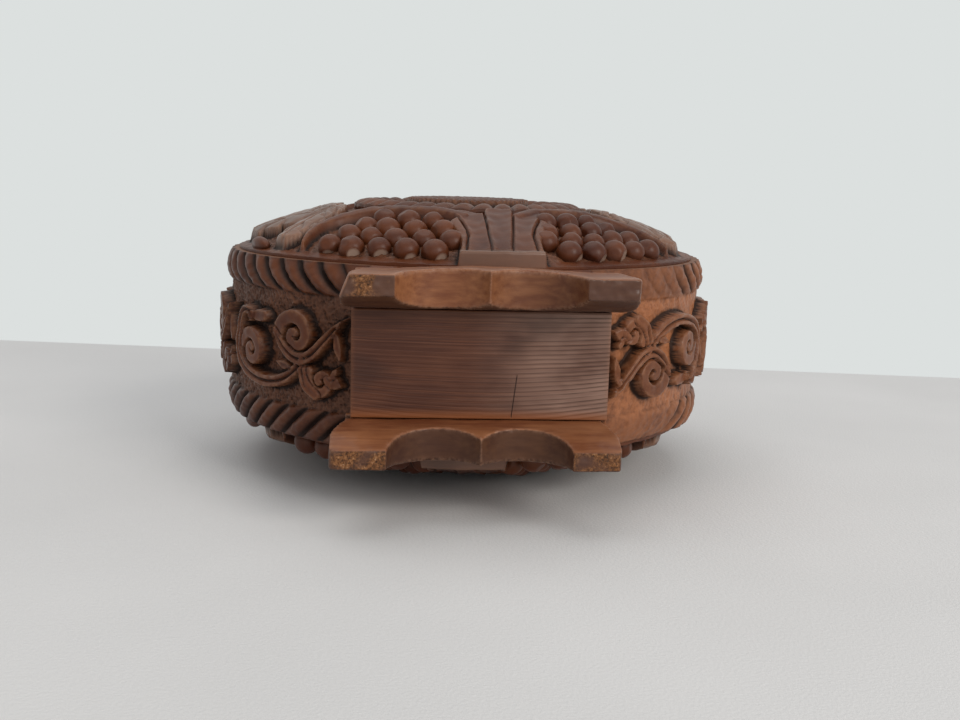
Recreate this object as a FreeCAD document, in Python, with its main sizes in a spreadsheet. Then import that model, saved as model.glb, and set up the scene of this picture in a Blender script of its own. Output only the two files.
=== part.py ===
"""A round carved puzzle box that lies on its back dome, with a bracket foot.

The drum's axis is +Z and the origin is the middle of the back rosette's flat
face, which the box rests on. The foot points along -Y. The sole panel slides
along +X out of the foot, the hidden bolt slides along +X behind it, and the lid
lifts off along +Z once the bolt is drawn.
"""
import FreeCAD, Part
import math
import os
import Sketcher

Vector = FreeCAD.Vector

SIZES = {
    # Drum: turned ring, its two rope mouldings and the scroll frieze between them
    "drum_height": 64.2,
    "ground_radius": 94,
    "wall_thickness": 12,
    "rope_width": 12,
    "rope_proud": 3,
    "rim_inset": 0.5,
    "rope_groove_radius": 1.6,
    "rope_groove_depth": 2,
    "scroll_height": 31,
    "scroll_length": 58,
    "scroll_proud": 4,
    "scroll_setback": 3,
    "scroll_groove_depth": 2.5,
    # Domes and the rosettes let into them
    "dome_inset": 3,
    "dome_lip": 1.2,
    "dome_ledge": 4,
    "dome_ledge_rise": 1.1,
    "dome_rise": 16,
    "dome_arc_radius": 200,
    # Vine in relief on the domes: calyx, stems, leaves and grapes
    "relief_lip": 3,
    "relief_proud": 2.6,
    "relief_arc_radius": 105,
    "calyx_width": 32.4,
    "calyx_groove": 0.7,
    "plinth_depth": 5,
    "plinth_height": 5.4,
    "stem_width": 5,
    "stem_gap": 0.8,
    "leaf_radius": 88.5,
    "grape_radius": 5.1,
    "grape_spacing": 10.3,
    "grape_circle_radius": 83,
    "grape_row_step": 8.6,
    "grape_lift": 0.9,
    "bud_radius": 3.2,
    "rosette_radius": 46,
    "rosette_step": 3.9,
    "rosette_cap": 3,
    "lid_face_radius": 24.5,
    "back_face_radius": 32,
    "spigot_radius": 12,
    "spigot_length": 8,
    # Discs that line the lid and the floor, with their pegs
    "liner_thickness": 8,
    "floor_thickness": 6,
    "peg_radius": 3,
    "peg_depth": 7,
    "peg_circle_radius": 62,
    # Foot: two arched rails on a flat that is cut on the drum
    "flat_depth": 5,
    "foot_height": 28.5,
    "rail_thickness": 12.6,
    "rail_tip": 6.4,
    "rail_drop": 0.2,
    "rail_flare": 9,
    "easing_radius": 50,
    "rail_lip": 0.5,
    "rail_splay": 4,
    "sole_width": 15.5,
    "sole_round": 2,
    "arch_depth": 10.3,
    "cusp_setback": 6.2,
    "dowel_radius": 3,
    "dowel_length": 17,
    "dowel_spacing": 48,
    # Sole panel that slides between the rails
    "panel_width": 88,
    "panel_thickness": 7,
    "tongue_thickness": 4,
    "tongue_depth": 3,
    "panel_travel": 60,
    "stop_radius": 1.6,
    "stop_proud": 2.4,
    "stop_seat": 2.5,
    "stop_inset": 5,
    "stop_margin": 3,
    # Hidden chamber behind the panel
    "mouth_width": 60,
    "mouth_border": 7,
    "chamber_depth": 24,
    "board_thickness": 4,
    "partition_gap": 5.1,
    "ceiling_drop": 2,
    # Bolt that crosses the lid's catch
    "bolt_height": 8,
    "bolt_thickness": 6,
    "bolt_tail": 2,
    "bolt_travel": 10,
    "bed_thickness": 3,
    "strap_width": 3.5,
    "strap_wall": 3,
    "strap_clearance": 0.7,
    "knob_tenon_radius": 1.4,
    "knob_neck_radius": 2,
    "knob_neck_length": 3.8,
    "knob_seat": 3,
    "knob_head_radius": 4,
    "knob_head_length": 5,
    "keeper_width": 5,
    "catch_thickness": 6,
    "catch_front_wall": 4,
    "catch_back_wall": 2.2,
    "catch_toe": 4.5,
    "bolt_clearance": 1.2,
    # Fits
    "glue_gap": 0.1,
    "slide_gap": 0.3,
    "lift_gap": 0.5,
}

COLUMN_NAMES = "A"
COLUMN_VALUES = "B"
QUARTERS = (45, 135, 225, 315)

# Carving: counts, and angles in degrees from the foot
ROPE_LOBES = 62
ROPE_START = 182.9
ROPE_SLANT_UPPER = 43
ROPE_SLANT_LOWER = -50
SCROLL_COPIES = 4
LID_TURN = 5.5
BACK_TURN = -2
# Rows of grapes beside a calyx, from the rim inwards: first angle and count
GRAPE_ROWS = ((16.6, 5), (12.9, 5), (17, 4), (21.5, 3))
BUD_ANGLE = 71
BALL_ROOT = 30

doc = FreeCAD.newDocument("puzzle_box")
sheet = doc.addObject("Spreadsheet::Sheet", "sizes")
for row, (name, number) in enumerate(SIZES.items(), start=1):
    sheet.set(f"{COLUMN_NAMES}{row}", name)
    sheet.set(f"{COLUMN_VALUES}{row}", str(number))
    sheet.setAlias(f"{COLUMN_VALUES}{row}", name)
doc.recompute()


def size(text):
    """Turn a formula of size names into one that reads the sheet."""
    words = []
    word = ""
    for letter in text + " ":
        if letter.isalnum() or letter in "_.":
            word += letter
            continue
        words.append(f"sizes.{word}" if word in SIZES else word)
        words.append(letter)
        word = ""
    return "".join(words).strip()


def value(text):
    """The number that a formula gives with the sheet's present sizes."""
    return float(sheet.evalExpression(size(text)))


# Heights of the box's main planes, above the face it rests on
BACK_SEAM = "(dome_rise + rosette_step + rosette_cap)"
MIDDLE = f"({BACK_SEAM} + drum_height / 2)"
LID_SEAM = f"({BACK_SEAM} + drum_height)"

# Distances from the drum's axis
BORE = "(ground_radius - wall_thickness)"
DISC_RADIUS = f"({BORE} - glue_gap)"
DOME_RADIUS = "(ground_radius - dome_inset)"
SCROLL_RADIUS = "(ground_radius + scroll_proud)"
SCROLL_START = f"asin((panel_width / 2 + scroll_setback) / {SCROLL_RADIUS})"
LEDGE_RADIUS = f"({DOME_RADIUS} - dome_ledge)"
SEAT_RADIUS = "(rosette_radius + glue_gap)"
FLAT = "(ground_radius - flat_depth)"
FOOT_TIP = f"({FLAT} + foot_height)"
PANEL_BACK = f"({FLAT} + slide_gap)"
PANEL_FACE = f"({PANEL_BACK} + panel_thickness)"
PARTITION = f"({BORE} - chamber_depth)"

# Foot: half widths along X, and heights above and below the middle
RAIL_ROOT = "(panel_width / 2 + rail_lip)"
RAIL_SPAN = f"({RAIL_ROOT} + rail_splay)"
RAIL_OUTER = "(drum_height / 2 - lift_gap)"
RAIL_INNER = f"({RAIL_OUTER} - rail_thickness)"
DOWEL_PLACE = f"(({RAIL_OUTER} + {RAIL_INNER} + tongue_depth + slide_gap) / 2)"
MOUTH_HALF = f"({RAIL_INNER} - mouth_border)"
STOP_DROP = f"({RAIL_INNER} - stop_margin)"

# Heights of the boards round the hidden chamber
PARTITION_TOP = f"({LID_SEAM} - liner_thickness - partition_gap)"
CEILING_LOW = f"({PARTITION_TOP} - ceiling_drop - board_thickness)"


def bind(thing, **formulas):
    """Tie properties of an object to formulas of sizes."""
    for name, text in formulas.items():
        thing.setExpression(name.replace("__", "."), size(text))


def new_body(label):
    body = doc.addObject("PartDesign::Body", label)
    body.Label = label
    return body


def new_sketch(body, name, plane, lift=None):
    """An empty sketch on one of the body's own origin planes."""
    sketch = body.newObject("Sketcher::SketchObject", name)
    support = next(item for item in body.Origin.OriginFeatures if item.Role == plane)
    sketch.AttachmentSupport = [(support, "")]
    sketch.MapMode = "FlatFace"
    if lift:
        bind(sketch, AttachmentOffset__Base__z=lift)
        doc.recompute()
    return sketch


def pin_point(sketch, edge, end, across, up):
    """Hold one end of an edge at formulas for its two coordinates."""
    for kind, text in (("DistanceX", across), ("DistanceY", up)):
        index = sketch.addConstraint(
            Sketcher.Constraint(kind, -1, 1, edge, end, value(text)))
        sketch.setExpression(f"Constraints[{index}]", size(text))


def arc_between(start, end, radius, side):
    """The short arc from start to end; side is 1 where its middle lies to the left."""
    chord = end - start
    left = Vector(-chord.y, chord.x, 0)
    left.normalize()
    half = chord.Length / 2
    bulge = radius - math.sqrt(radius * radius - half * half)
    middle = (start + end) * 0.5 + left * (side * bulge)
    return Part.Arc(start, middle, end)


def draw_outline(sketch, corners):
    """Draw a closed outline.

    Each corner is (across, up) or (across, up, radius, side): the last two make
    the edge that leaves the corner an arc, with its middle to the left for 1.
    """
    points = [Vector(value(corner[0]), value(corner[1]), 0) for corner in corners]
    first = sketch.GeometryCount
    for number, corner in enumerate(corners):
        start = points[number]
        end = points[(number + 1) % len(points)]
        if len(corner) == 4:
            edge = arc_between(start, end, value(corner[2]), corner[3])
        else:
            edge = Part.LineSegment(start, end)
        sketch.addGeometry(edge)
    for number, corner in enumerate(corners):
        edge = first + number
        following = first + (number + 1) % len(corners)
        sketch.addConstraint(Sketcher.Constraint(
            "Coincident", edge, edge_end(sketch, edge, points[(number + 1) % len(points)]),
            following, edge_end(sketch, following, points[(number + 1) % len(points)])))
        pin_point(sketch, edge, edge_end(sketch, edge, points[number]), corner[0], corner[1])
        if len(corner) == 4:
            index = sketch.addConstraint(
                Sketcher.Constraint("Radius", edge, value(corner[2])))
            sketch.setExpression(f"Constraints[{index}]", size(corner[2]))
    return sketch


def edge_end(sketch, edge, point):
    """1 or 2, for the end of a drawn edge that lies at a point."""
    gap_start = sketch.getPoint(edge, 1).distanceToPoint(point)
    gap_end = sketch.getPoint(edge, 2).distanceToPoint(point)
    return 1 if gap_start <= gap_end else 2


def draw_circle(sketch, across, up, radius):
    centre = Vector(value(across), value(up), 0)
    edge = sketch.addGeometry(Part.Circle(centre, Vector(0, 0, 1), value(radius)))
    pin_point(sketch, edge, 3, across, up)
    index = sketch.addConstraint(Sketcher.Constraint("Radius", edge, value(radius)))
    sketch.setExpression(f"Constraints[{index}]", size(radius))
    return sketch


def draw_box(sketch, left, right, low, high):
    return draw_outline(sketch, [(left, low), (right, low), (right, high), (left, high)])


def pad(body, sketch, length, both_ways=False):
    feature = body.newObject("PartDesign::Pad", f"{sketch.Name}_pad")
    feature.Profile = (sketch, [""])
    if both_ways:
        feature.SideType = "Symmetric"
    bind(feature, Length=length)
    doc.recompute()
    return feature


def cut(body, sketch, depth, both_ways=False, reverse=False):
    """Pocket a sketch and make sure that wood was taken away."""
    before = body.Shape.Volume
    feature = body.newObject("PartDesign::Pocket", f"{sketch.Name}_cut")
    feature.Profile = (sketch, [""])
    feature.Reversed = reverse
    if both_ways:
        feature.SideType = "Symmetric"
    bind(feature, Length=depth)
    doc.recompute()
    if body.Shape.Volume > before - 1e-6:
        raise RuntimeError(f"{sketch.Name} cuts nothing")
    return feature


def turn(body, sketch, degrees=None):
    """Turn a sketch round the drum's axis, all the way or evenly to both sides."""
    feature = body.newObject("PartDesign::Revolution", f"{sketch.Name}_turned")
    feature.Profile = (sketch, [""])
    feature.ReferenceAxis = (sketch, ["V_Axis"])
    if degrees:
        feature.Midplane = True
        bind(feature, Angle=degrees)
    doc.recompute()
    return feature


def board(label, plane, lift, thickness, corners):
    """A flat board: an outline on a plane, padded to its thickness."""
    body = new_body(label)
    sketch = draw_outline(new_sketch(body, f"{label}_outline", plane, lift), corners)
    pad(body, sketch, thickness)
    return body


def peg(label, radius, length, across, along, up, degrees, axis):
    """A straight peg from a start point, turned from +Z about an axis."""
    feature = doc.addObject("Part::Cylinder", label)
    feature.Placement = FreeCAD.Placement(Vector(), FreeCAD.Rotation(axis, degrees))
    bind(feature, Radius=radius, Height=length, Placement__Base__x=across,
         Placement__Base__y=along, Placement__Base__z=up)
    return feature


def group(label, pieces):
    compound = doc.addObject("Part::Compound", label)
    compound.Label = label
    compound.Links = pieces
    return compound


def groove(body, sketch):
    """Turn wood away all round the drum's axis."""
    before = body.Shape.Volume
    feature = body.newObject("PartDesign::Groove", f"{sketch.Name}_turned_off")
    feature.Profile = (sketch, [""])
    feature.ReferenceAxis = (sketch, ["V_Axis"])
    feature.Angle = 360
    doc.recompute()
    if body.Shape.Volume > before - 1e-6:
        raise RuntimeError(f"{sketch.Name} cuts nothing")
    return feature


def upright_axis(body):
    return next(item for item in body.Origin.OriginFeatures if item.Role == "Z_Axis")


def copies(body, name, features, count):
    """Repeat features evenly all round the drum's axis."""
    pattern = body.newObject("PartDesign::PolarPattern", name)
    pattern.Originals = features
    pattern.Axis = (upright_axis(body), [""])
    pattern.Angle = 360
    pattern.Occurrences = count
    body.Tip = pattern
    doc.recompute()
    return pattern


def side_sketch(body, name, across, distance):
    """A sketch that faces a place along the frieze's first scroll, at a distance from the axis."""
    angle = f"(-({SCROLL_START}) + {scroll_across(across)} / {SCROLL_RADIUS} * 1 rad)"
    sketch = new_sketch(body, name, "XZ_Plane")
    sketch.AttachmentOffset = FreeCAD.Placement(
        Vector(), FreeCAD.Rotation(Vector(0, 1, 0), value(f"{angle} / 1 deg")))
    bind(sketch, AttachmentOffset__Base__x=f"{distance} * sin({angle})",
         AttachmentOffset__Base__z=f"{distance} * cos({angle})",
         AttachmentOffset__Rotation__Angle=angle)
    doc.recompute()
    return sketch


# The scroll as drawn, 58 long and 31 high: outlines whose corners are
# (across, up) or (across, up, radius, side), from the foot's end at 0
SCROLL_DRAWN_LENGTH = 58
SCROLL_DRAWN_HEIGHT = 31
SCROLL_OUTLINES = {
    "scroll_cradle": [(-31.6, 7.8, 16.1, -1), (0, 13.2, 17.6, 1)],
    "scroll_sweep": [(-16, -1.5, 23.7, 1), (-38.5, -13.95), (-38.5, -9.85, 24.8, -1)],
    "scroll_rise": [(-37.5, -14, 23.7, 1), (-58, -1, 30, 1), (-50.5, 14.5), (-48.8, 10.6, 24, -1),
                    (-54, -1, 24.8, -1), (-37.5, -9.9)],
    "scroll_curl": [(-19.4, -3, 16, -1), (-12, -15, 20, -1), (-9, -11.5, 14, 1), (-15.6, -3.4)],
    "scroll_blade": [(-4.4, 8.4, 14, -1), (-1.2, -2.4, 30, -1), (-0.4, 9.5)],
    "scroll_leaf": [(-50, 11.2, 9.5, -1), (-37.4, 10.9, 9.5, -1)],
    "scroll_sprig": [(-22, -7.4, 7.6, -1), (-32.5, -4.2, 7.6, -1)],
}
# Volutes: middle, radius, and the inner radius, width and first angle of the groove that winds in
SCROLL_VOLUTES = {
    "scroll_volute_one": (-21, 6.2, 8.3, 3.6, 1.5, -60),
    "scroll_volute_two": (-46.6, -2.3, 7.3, 3.0, 1.4, -90),
    "scroll_volute_low": (-9.6, -9, 5.8, 2.1, 1.3, 200),
}
GROOVE_SWEEP = 130


def scroll_across(number):
    """A drawn length along the scroll."""
    return f"{number} * scroll_length / {SCROLL_DRAWN_LENGTH}"


def scroll_up(number):
    """A drawn size up the scroll."""
    return f"{number} * scroll_height / {SCROLL_DRAWN_HEIGHT}"


def scroll_corners(corners, middle):
    """An outline's corners as formulas, measured along from its own middle."""
    drawn = []
    for across, up, *arc in corners:
        place = (scroll_across(f"({across - middle})"), f"{MIDDLE} + {scroll_up(up)}")
        if arc:
            place += (scroll_up(arc[0]), arc[1])
        drawn.append(place)
    return drawn


def winding_groove(up, inner, width, first):
    """The outline of a groove that runs most of the way round a volute's middle."""
    corners = []
    for radius, steps, side in ((inner + width, (0, 1, 2), -1), (inner, (2, 1, 0), 1)):
        for step in steps:
            angle = first + step * GROOVE_SWEEP
            place = (f"{scroll_up(radius)} * cos({angle})",
                     f"{MIDDLE} + {scroll_up(up)} + {scroll_up(radius)} * sin({angle})")
            corners.append(place if step == steps[-1] else place + (scroll_up(radius), side))
    return corners


def make_scroll():
    """The frieze's first scroll, to the left of the foot, rooted in the wall."""
    body = new_body("scroll")
    root = "(ground_radius - wall_thickness / 2)"
    reach = "wall_thickness / 2 + scroll_proud"
    for name, corners in SCROLL_OUTLINES.items():
        places = [corner[0] for corner in corners]
        middle = (min(places) + max(places)) / 2
        sketch = side_sketch(body, name, f"({middle})", root)
        pad(body, draw_outline(sketch, scroll_corners(corners, middle)), reach)
    for name, (across, up, radius, *_) in SCROLL_VOLUTES.items():
        sketch = side_sketch(body, name, f"({across})", root)
        draw_circle(sketch, "0", f"{MIDDLE} + {scroll_up(up)}", scroll_up(radius))
        pad(body, sketch, reach)
    floor = f"({SCROLL_RADIUS} - scroll_groove_depth)"
    for name, (across, up, _, inner, width, first) in SCROLL_VOLUTES.items():
        sketch = side_sketch(body, f"{name}_groove", f"({across})", floor)
        draw_outline(sketch, winding_groove(up, inner, width, first))
        cut(body, sketch, "2 * scroll_groove_depth", reverse=True)
    return body


def make_frieze():
    """The scroll repeated round the wall, and all of it turned over to the foot's other side."""
    scroll = make_scroll()
    run = [scroll]
    for number in range(1, SCROLL_COPIES):
        copy = doc.addObject("App::Link", f"scroll_{number + 1}")
        copy.LinkedObject = scroll
        copy.Placement = FreeCAD.Placement(Vector(), FreeCAD.Rotation(Vector(0, 0, 1), -number))
        bind(copy, Placement__Rotation__Angle=f"-{number} * (180 deg - {SCROLL_START}) / {SCROLL_COPIES}")
        run.append(copy)
    left = group("frieze_left", run)
    right = doc.addObject("App::Link", "frieze_right")
    right.LinkedObject = left
    right.Placement = FreeCAD.Placement(Vector(), FreeCAD.Rotation(Vector(0, 1, 0), 180))
    bind(right, Placement__Base__z=f"2 * {MIDDLE}")
    doc.recompute()
    return [left, right]


def carve_rope(body, name, height, slant):
    """Slanting grooves that part a rope moulding into lobes."""
    axis_radius = "(ground_radius + rope_proud - rope_groove_depth + rope_groove_radius)"
    length = "(1.5 * rope_width)"
    around = FreeCAD.Rotation(Vector(0, 0, 1), ROPE_START)
    rotation = around.multiply(FreeCAD.Rotation(Vector(0, 1, 0), -slant))
    way = rotation.multVec(Vector(0, 0, 1))
    tool = body.newObject("PartDesign::SubtractiveCylinder", name)
    tool.MapMode = "Deactivated"
    tool.Placement = FreeCAD.Placement(Vector(), rotation)
    bind(tool, Radius="rope_groove_radius", Height=length,
         Placement__Base__x=f"{axis_radius} * sin({ROPE_START}) - {way.x} * {length} / 2",
         Placement__Base__y=f"-{axis_radius} * cos({ROPE_START}) - {way.y} * {length} / 2",
         Placement__Base__z=f"{height} - {way.z} * {length} / 2")
    doc.recompute()
    copies(body, f"{name}_all", [tool], ROPE_LOBES)


def make_drum_wall():
    body = new_body("drum_ring")
    rim = "ground_radius - rim_inset"
    bulge = "(rope_proud + rim_inset / 2)"
    rope_radius = f"((rope_width ^ 2 + rim_inset ^ 2) / 4 + {bulge} ^ 2) / (2 * {bulge})"
    ring = draw_outline(new_sketch(body, "ring", "XZ_Plane"), [
        (BORE, BACK_SEAM),
        (rim, BACK_SEAM, rope_radius, -1),
        ("ground_radius", f"{BACK_SEAM} + rope_width"),
        ("ground_radius", f"{LID_SEAM} - rope_width", rope_radius, -1),
        (rim, LID_SEAM),
        (BORE, LID_SEAM),
    ])
    turn(body, ring)
    reach = f"({SCROLL_RADIUS} + rope_proud)"
    flat = draw_box(new_sketch(body, "foot_flat", "XY_Plane", MIDDLE),
                    f"-{reach}", reach, f"-{reach}", f"-{FLAT}")
    carve_rope(body, "upper_rope_groove", f"{LID_SEAM} - rope_width / 2", ROPE_SLANT_UPPER)
    carve_rope(body, "lower_rope_groove", f"{BACK_SEAM} + rope_width / 2", ROPE_SLANT_LOWER)
    cut(body, flat, "2 * drum_height", both_ways=True)
    mouth = draw_box(new_sketch(body, "mouth", "XZ_Plane", FLAT),
                     "-mouth_width / 2", "mouth_width / 2",
                     f"{MIDDLE} - {MOUTH_HALF}", f"{MIDDLE} + {MOUTH_HALF}")
    cut(body, mouth, f"{FLAT} - {PARTITION}")
    peg_run = stop_groove(body, "stop_groove")
    cut(body, peg_run, "stop_proud + slide_gap")
    bores = new_sketch(body, "dowel_bores", "XZ_Plane", FLAT)
    for side in ("-", ""):
        for way in ("-", "+"):
            draw_circle(bores, f"{side}dowel_spacing / 2",
                        f"{MIDDLE} {way} {DOWEL_PLACE}", "dowel_radius + glue_gap / 2")
    cut(body, bores, "dowel_length / 2 + glue_gap")
    wall = doc.addObject("Part::MultiFuse", "drum_wall")
    wall.Label = "drum_wall"
    wall.Shapes = [body, *make_frieze()]
    return wall


def stop_groove(body, name):
    """The groove behind the panel that its stop peg runs in, from end to end."""
    start = "(panel_width / 2 - stop_inset)"
    return draw_box(new_sketch(body, name, "XZ_Plane", FLAT),
                    f"-{start} - stop_radius - slide_gap",
                    f"panel_travel - {start} + stop_radius + slide_gap",
                    f"{MIDDLE} - {STOP_DROP} - stop_radius - slide_gap",
                    f"{MIDDLE} - {STOP_DROP} + stop_radius + slide_gap")


def plan_sketch(body, name, seam, degrees):
    """A sketch over a dome's seam, turned so that its -Y runs out along the calyx."""
    sketch = new_sketch(body, name, "XY_Plane", seam)
    sketch.AttachmentOffset = FreeCAD.Placement(
        sketch.AttachmentOffset.Base, FreeCAD.Rotation(Vector(0, 0, 1), degrees))
    doc.recompute()
    return sketch


def at(side, degrees, radius):
    """A place at an angle to one side of the calyx and a distance from the drum's axis."""
    return (f"{side} ({radius}) * sin({degrees})", f"-({radius}) * cos({degrees})")


def calyx_outlines():
    """Middle lobe, side lobes and curled lips of a calyx."""
    root = f"-({LEDGE_RADIUS})"
    inner = "(calyx_width / 7.6)"
    tip = "(rosette_radius + stem_gap + stem_width + calyx_width / 20)"
    outlines = [[(f"-{inner}", root), (inner, root), (f"1.25 * {inner}", f"-{tip}", f"1.4 * {inner}", -1),
                 (f"-1.25 * {inner}", f"-{tip}")]]
    for side in ("+", "-"):
        near = f"{side} ({inner} + calyx_groove)"
        top_near = f"{side} (1.25 * {inner} + calyx_groove)"
        far = f"{side} (calyx_width * 0.41)"
        outlines.append([(near, root), (far, root), (far, f"-({LEDGE_RADIUS} - calyx_width / 2)"),
                         (f"{side} (calyx_width * 0.5)", f"-({tip} + calyx_width * 0.15)"),
                         (top_near, f"-({tip} + calyx_width * 0.05)")])
        lip_near = f"{side} (calyx_width * 0.41 + calyx_groove)"
        outlines.append([(lip_near, root), (f"{side} calyx_width / 2", root),
                         (f"{side} calyx_width / 2", f"-({LEDGE_RADIUS} - calyx_width * 0.45)"),
                         (f"{side} calyx_width * 0.62", f"-({LEDGE_RADIUS} - calyx_width * 0.66)"),
                         (f"{side} calyx_width * 0.56", f"-({LEDGE_RADIUS} - calyx_width * 0.8)"),
                         (lip_near, f"-({LEDGE_RADIUS} - calyx_width * 0.5)")])
    return outlines


def stem_outline(side):
    """A stem that leaves the calyx round the rosette, then bends outwards to its leaf."""
    inner = "rosette_radius + stem_gap"
    outer = f"{inner} + stem_width"
    bulge = 1 if side == "-" else -1
    return [
        (*at(side, 7, inner), inner, bulge),
        (*at(side, 44, inner),),
        (*at(side, 55, f"{outer} + stem_width"),),
        (*at(side, 56.5, "leaf_radius - 3 * stem_width"),),
        (*at(side, 52.5, "leaf_radius - 3 * stem_width"),),
        (*at(side, 49, f"{outer} + stem_width"),),
        (*at(side, 40, outer), outer, -bulge),
        (*at(side, 10, outer),),
    ]


# A leaf's tips and notches in turn: angle from the calyx and share of its outer radius
LEAF_CORNERS = ((54, 0.76), (57, 0.61), (62, 0.7), (77, 0.67), (70, 0.79), (79, 1), (68, 0.92),
                (64, 1), (59, 0.91), (53, 0.99), (54.5, 0.87))


def leaf_outline(side):
    return [at(side, degrees, f"{share} * leaf_radius") for degrees, share in LEAF_CORNERS]


def dome_relief(body, label, seam, way, degrees):
    """Calyx, stems and leaves, on both sides of the dome, cut down to one rounded face."""
    outlines = {"calyx": calyx_outlines(), "stems": [stem_outline("+"), stem_outline("-")],
                "leaves": [leaf_outline("+"), leaf_outline("-")]}
    features = []
    for name, shapes in outlines.items():
        sketch = plan_sketch(body, f"{label}_{name}", seam, degrees)
        for corners in shapes:
            draw_outline(sketch, corners)
        feature = pad(body, sketch, "dome_rise + 3 * relief_proud")
        feature.Reversed = way == "-"
        features.append(feature)
    copies(body, f"{label}_vine", features, 2)
    bulge = -1 if way == "-" else 1
    clear = f"{seam} {way} (dome_rise + 4 * relief_proud)"
    trim = draw_outline(new_sketch(body, f"{label}_relief", "XZ_Plane"), [
        ("0", f"{seam} {way} dome_rise"),
        (SEAT_RADIUS, f"{seam} {way} dome_rise"),
        (SEAT_RADIUS, f"{seam} {way} (dome_rise + relief_proud)", "relief_arc_radius", bulge),
        (DOME_RADIUS, f"{seam} {way} relief_lip"),
        (f"{DOME_RADIUS} + dome_inset", f"{seam} {way} relief_lip"),
        (f"{DOME_RADIUS} + dome_inset", clear),
        ("0", clear),
    ])
    groove(body, trim)
    plinth = draw_outline(plan_sketch(body, f"{label}_plinth", seam, degrees), [
        ("-calyx_width / 2", f"-({DOME_RADIUS} - plinth_depth)"),
        ("-calyx_width / 2", f"-sqrt({DOME_RADIUS} ^ 2 - calyx_width ^ 2 / 4)", DOME_RADIUS, -1),
        ("calyx_width / 2", f"-sqrt({DOME_RADIUS} ^ 2 - calyx_width ^ 2 / 4)"),
        ("calyx_width / 2", f"-({DOME_RADIUS} - plinth_depth)"),
    ])
    block = pad(body, plinth, "plinth_height")
    block.Reversed = way == "-"
    copies(body, f"{label}_plinths", [block], 2)


def ball(name, way, radius, degrees, distance, height):
    """A ball with a flat root, at an angle from the foot, a distance from the axis and a height."""
    feature = doc.addObject("Part::Sphere", name)
    if way == "-":
        feature.Angle2 = BALL_ROOT
    else:
        feature.Angle1 = -BALL_ROOT
    bind(feature, Radius=radius, Placement__Base__x=f"({distance}) * sin({degrees})",
         Placement__Base__y=f"-({distance}) * cos({degrees})", Placement__Base__z=height)
    return feature


def grape_bunches(label, seam, way, degrees):
    """Grapes in rows on both sides of each calyx, and a bud under each leaf."""
    slope = f"(dome_rise - dome_lip - dome_ledge_rise) / ({LEDGE_RADIUS} - {SEAT_RADIUS})"
    balls = []
    for half_turn in (0, 180):
        for side in (-1, 1):
            for row, (first, count) in enumerate(GRAPE_ROWS):
                distance = f"(grape_circle_radius - {row} * grape_row_step)"
                rise = f"dome_lip + dome_ledge_rise + grape_lift + ({LEDGE_RADIUS} - {distance}) * {slope}"
                for number in range(count):
                    step = f"{side * number} * grape_spacing / {distance} * 1 rad"
                    balls.append(ball(f"{label}_grape_{len(balls) + 1}", way, "grape_radius",
                                      f"{half_turn + degrees + side * first} * 1 deg + {step}",
                                      distance, f"{seam} {way} ({rise})"))
            balls.append(ball(f"{label}_bud_{len(balls) + 1}", way, "bud_radius",
                              half_turn + degrees + side * BUD_ANGLE, "leaf_radius - bud_radius / 4",
                              f"{seam} {way} (dome_lip + dome_ledge_rise)"))
    return balls


def make_dome(label, seam, way, degrees):
    """One carved dome, with the seat and the bore of its rosette."""
    body = new_body(f"{label}_blank")
    seat = f"{seam} {way} dome_rise"
    bore = "spigot_radius + glue_gap / 2"
    bore_end = f"{seat} - ({way} (spigot_length + glue_gap))"
    bulge = -1 if way == "-" else 1
    corners = [
        ("0", seam),
        (DOME_RADIUS, seam),
        (DOME_RADIUS, f"{seam} {way} dome_lip"),
        (LEDGE_RADIUS, f"{seam} {way} (dome_lip + dome_ledge_rise)", "dome_arc_radius", -bulge),
        (SEAT_RADIUS, seat),
        (bore, seat),
        (bore, bore_end),
        ("0", bore_end),
    ]
    turn(body, draw_outline(new_sketch(body, f"{label}_profile", "XZ_Plane"), corners))
    dome_relief(body, label, seam, way, degrees)
    low, high = (seam, f"{seam} + peg_depth + glue_gap")
    if way == "-":
        low, high = (f"{seam} - peg_depth - glue_gap", seam)
    peg_bores(body, f"{label}_pegs", low, f"{high} - ({low})")
    carved = doc.addObject("Part::MultiFuse", label)
    carved.Label = label
    carved.Shapes = [body, *grape_bunches(label, seam, way, degrees)]
    return carved


def peg_bores(body, name, low, depth):
    """Four bores on the peg circle, from a height upwards."""
    sketch = new_sketch(body, name, "XY_Plane", low)
    for quarter in QUARTERS:
        draw_circle(sketch, f"peg_circle_radius * cos({quarter})",
                    f"peg_circle_radius * sin({quarter})", "peg_radius + glue_gap / 2")
    cut(body, sketch, depth, reverse=True)


def make_rosette(label, seam, way, face_radius):
    """A turned boss in two steps, with a spigot into its dome."""
    body = new_body(label)
    seat = f"{seam} {way} dome_rise"
    step = f"{seat} {way} rosette_step"
    face = f"{step} {way} rosette_cap"
    spigot_end = f"{seat} - ({way} spigot_length)"
    turn(body, draw_outline(new_sketch(body, f"{label}_profile", "XZ_Plane"), [
        ("0", face),
        (face_radius, face),
        (face_radius, step),
        ("rosette_radius", step),
        ("rosette_radius", seat),
        ("spigot_radius", seat),
        ("spigot_radius", spigot_end),
        ("0", spigot_end),
    ]))
    return body


def make_disc(label, low, thickness, radius):
    """A round board in the drum's bore, with its peg holes."""
    body = new_body(label)
    sketch = draw_circle(new_sketch(body, f"{label}_outline", "XY_Plane", low),
                         "0", "0", radius)
    pad(body, sketch, thickness)
    peg_bores(body, f"{label}_pegs", low, thickness)
    return body


def make_pegs(label, low, length):
    """Four upright pegs, through a disc and into its dome."""
    pieces = []
    for quarter in QUARTERS:
        pieces.append(peg(f"{label}_{quarter}", "peg_radius", length,
                          f"peg_circle_radius * cos({quarter})",
                          f"peg_circle_radius * sin({quarter})", low, 0, Vector(0, 0, 1)))
    return group(label, pieces)


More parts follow.
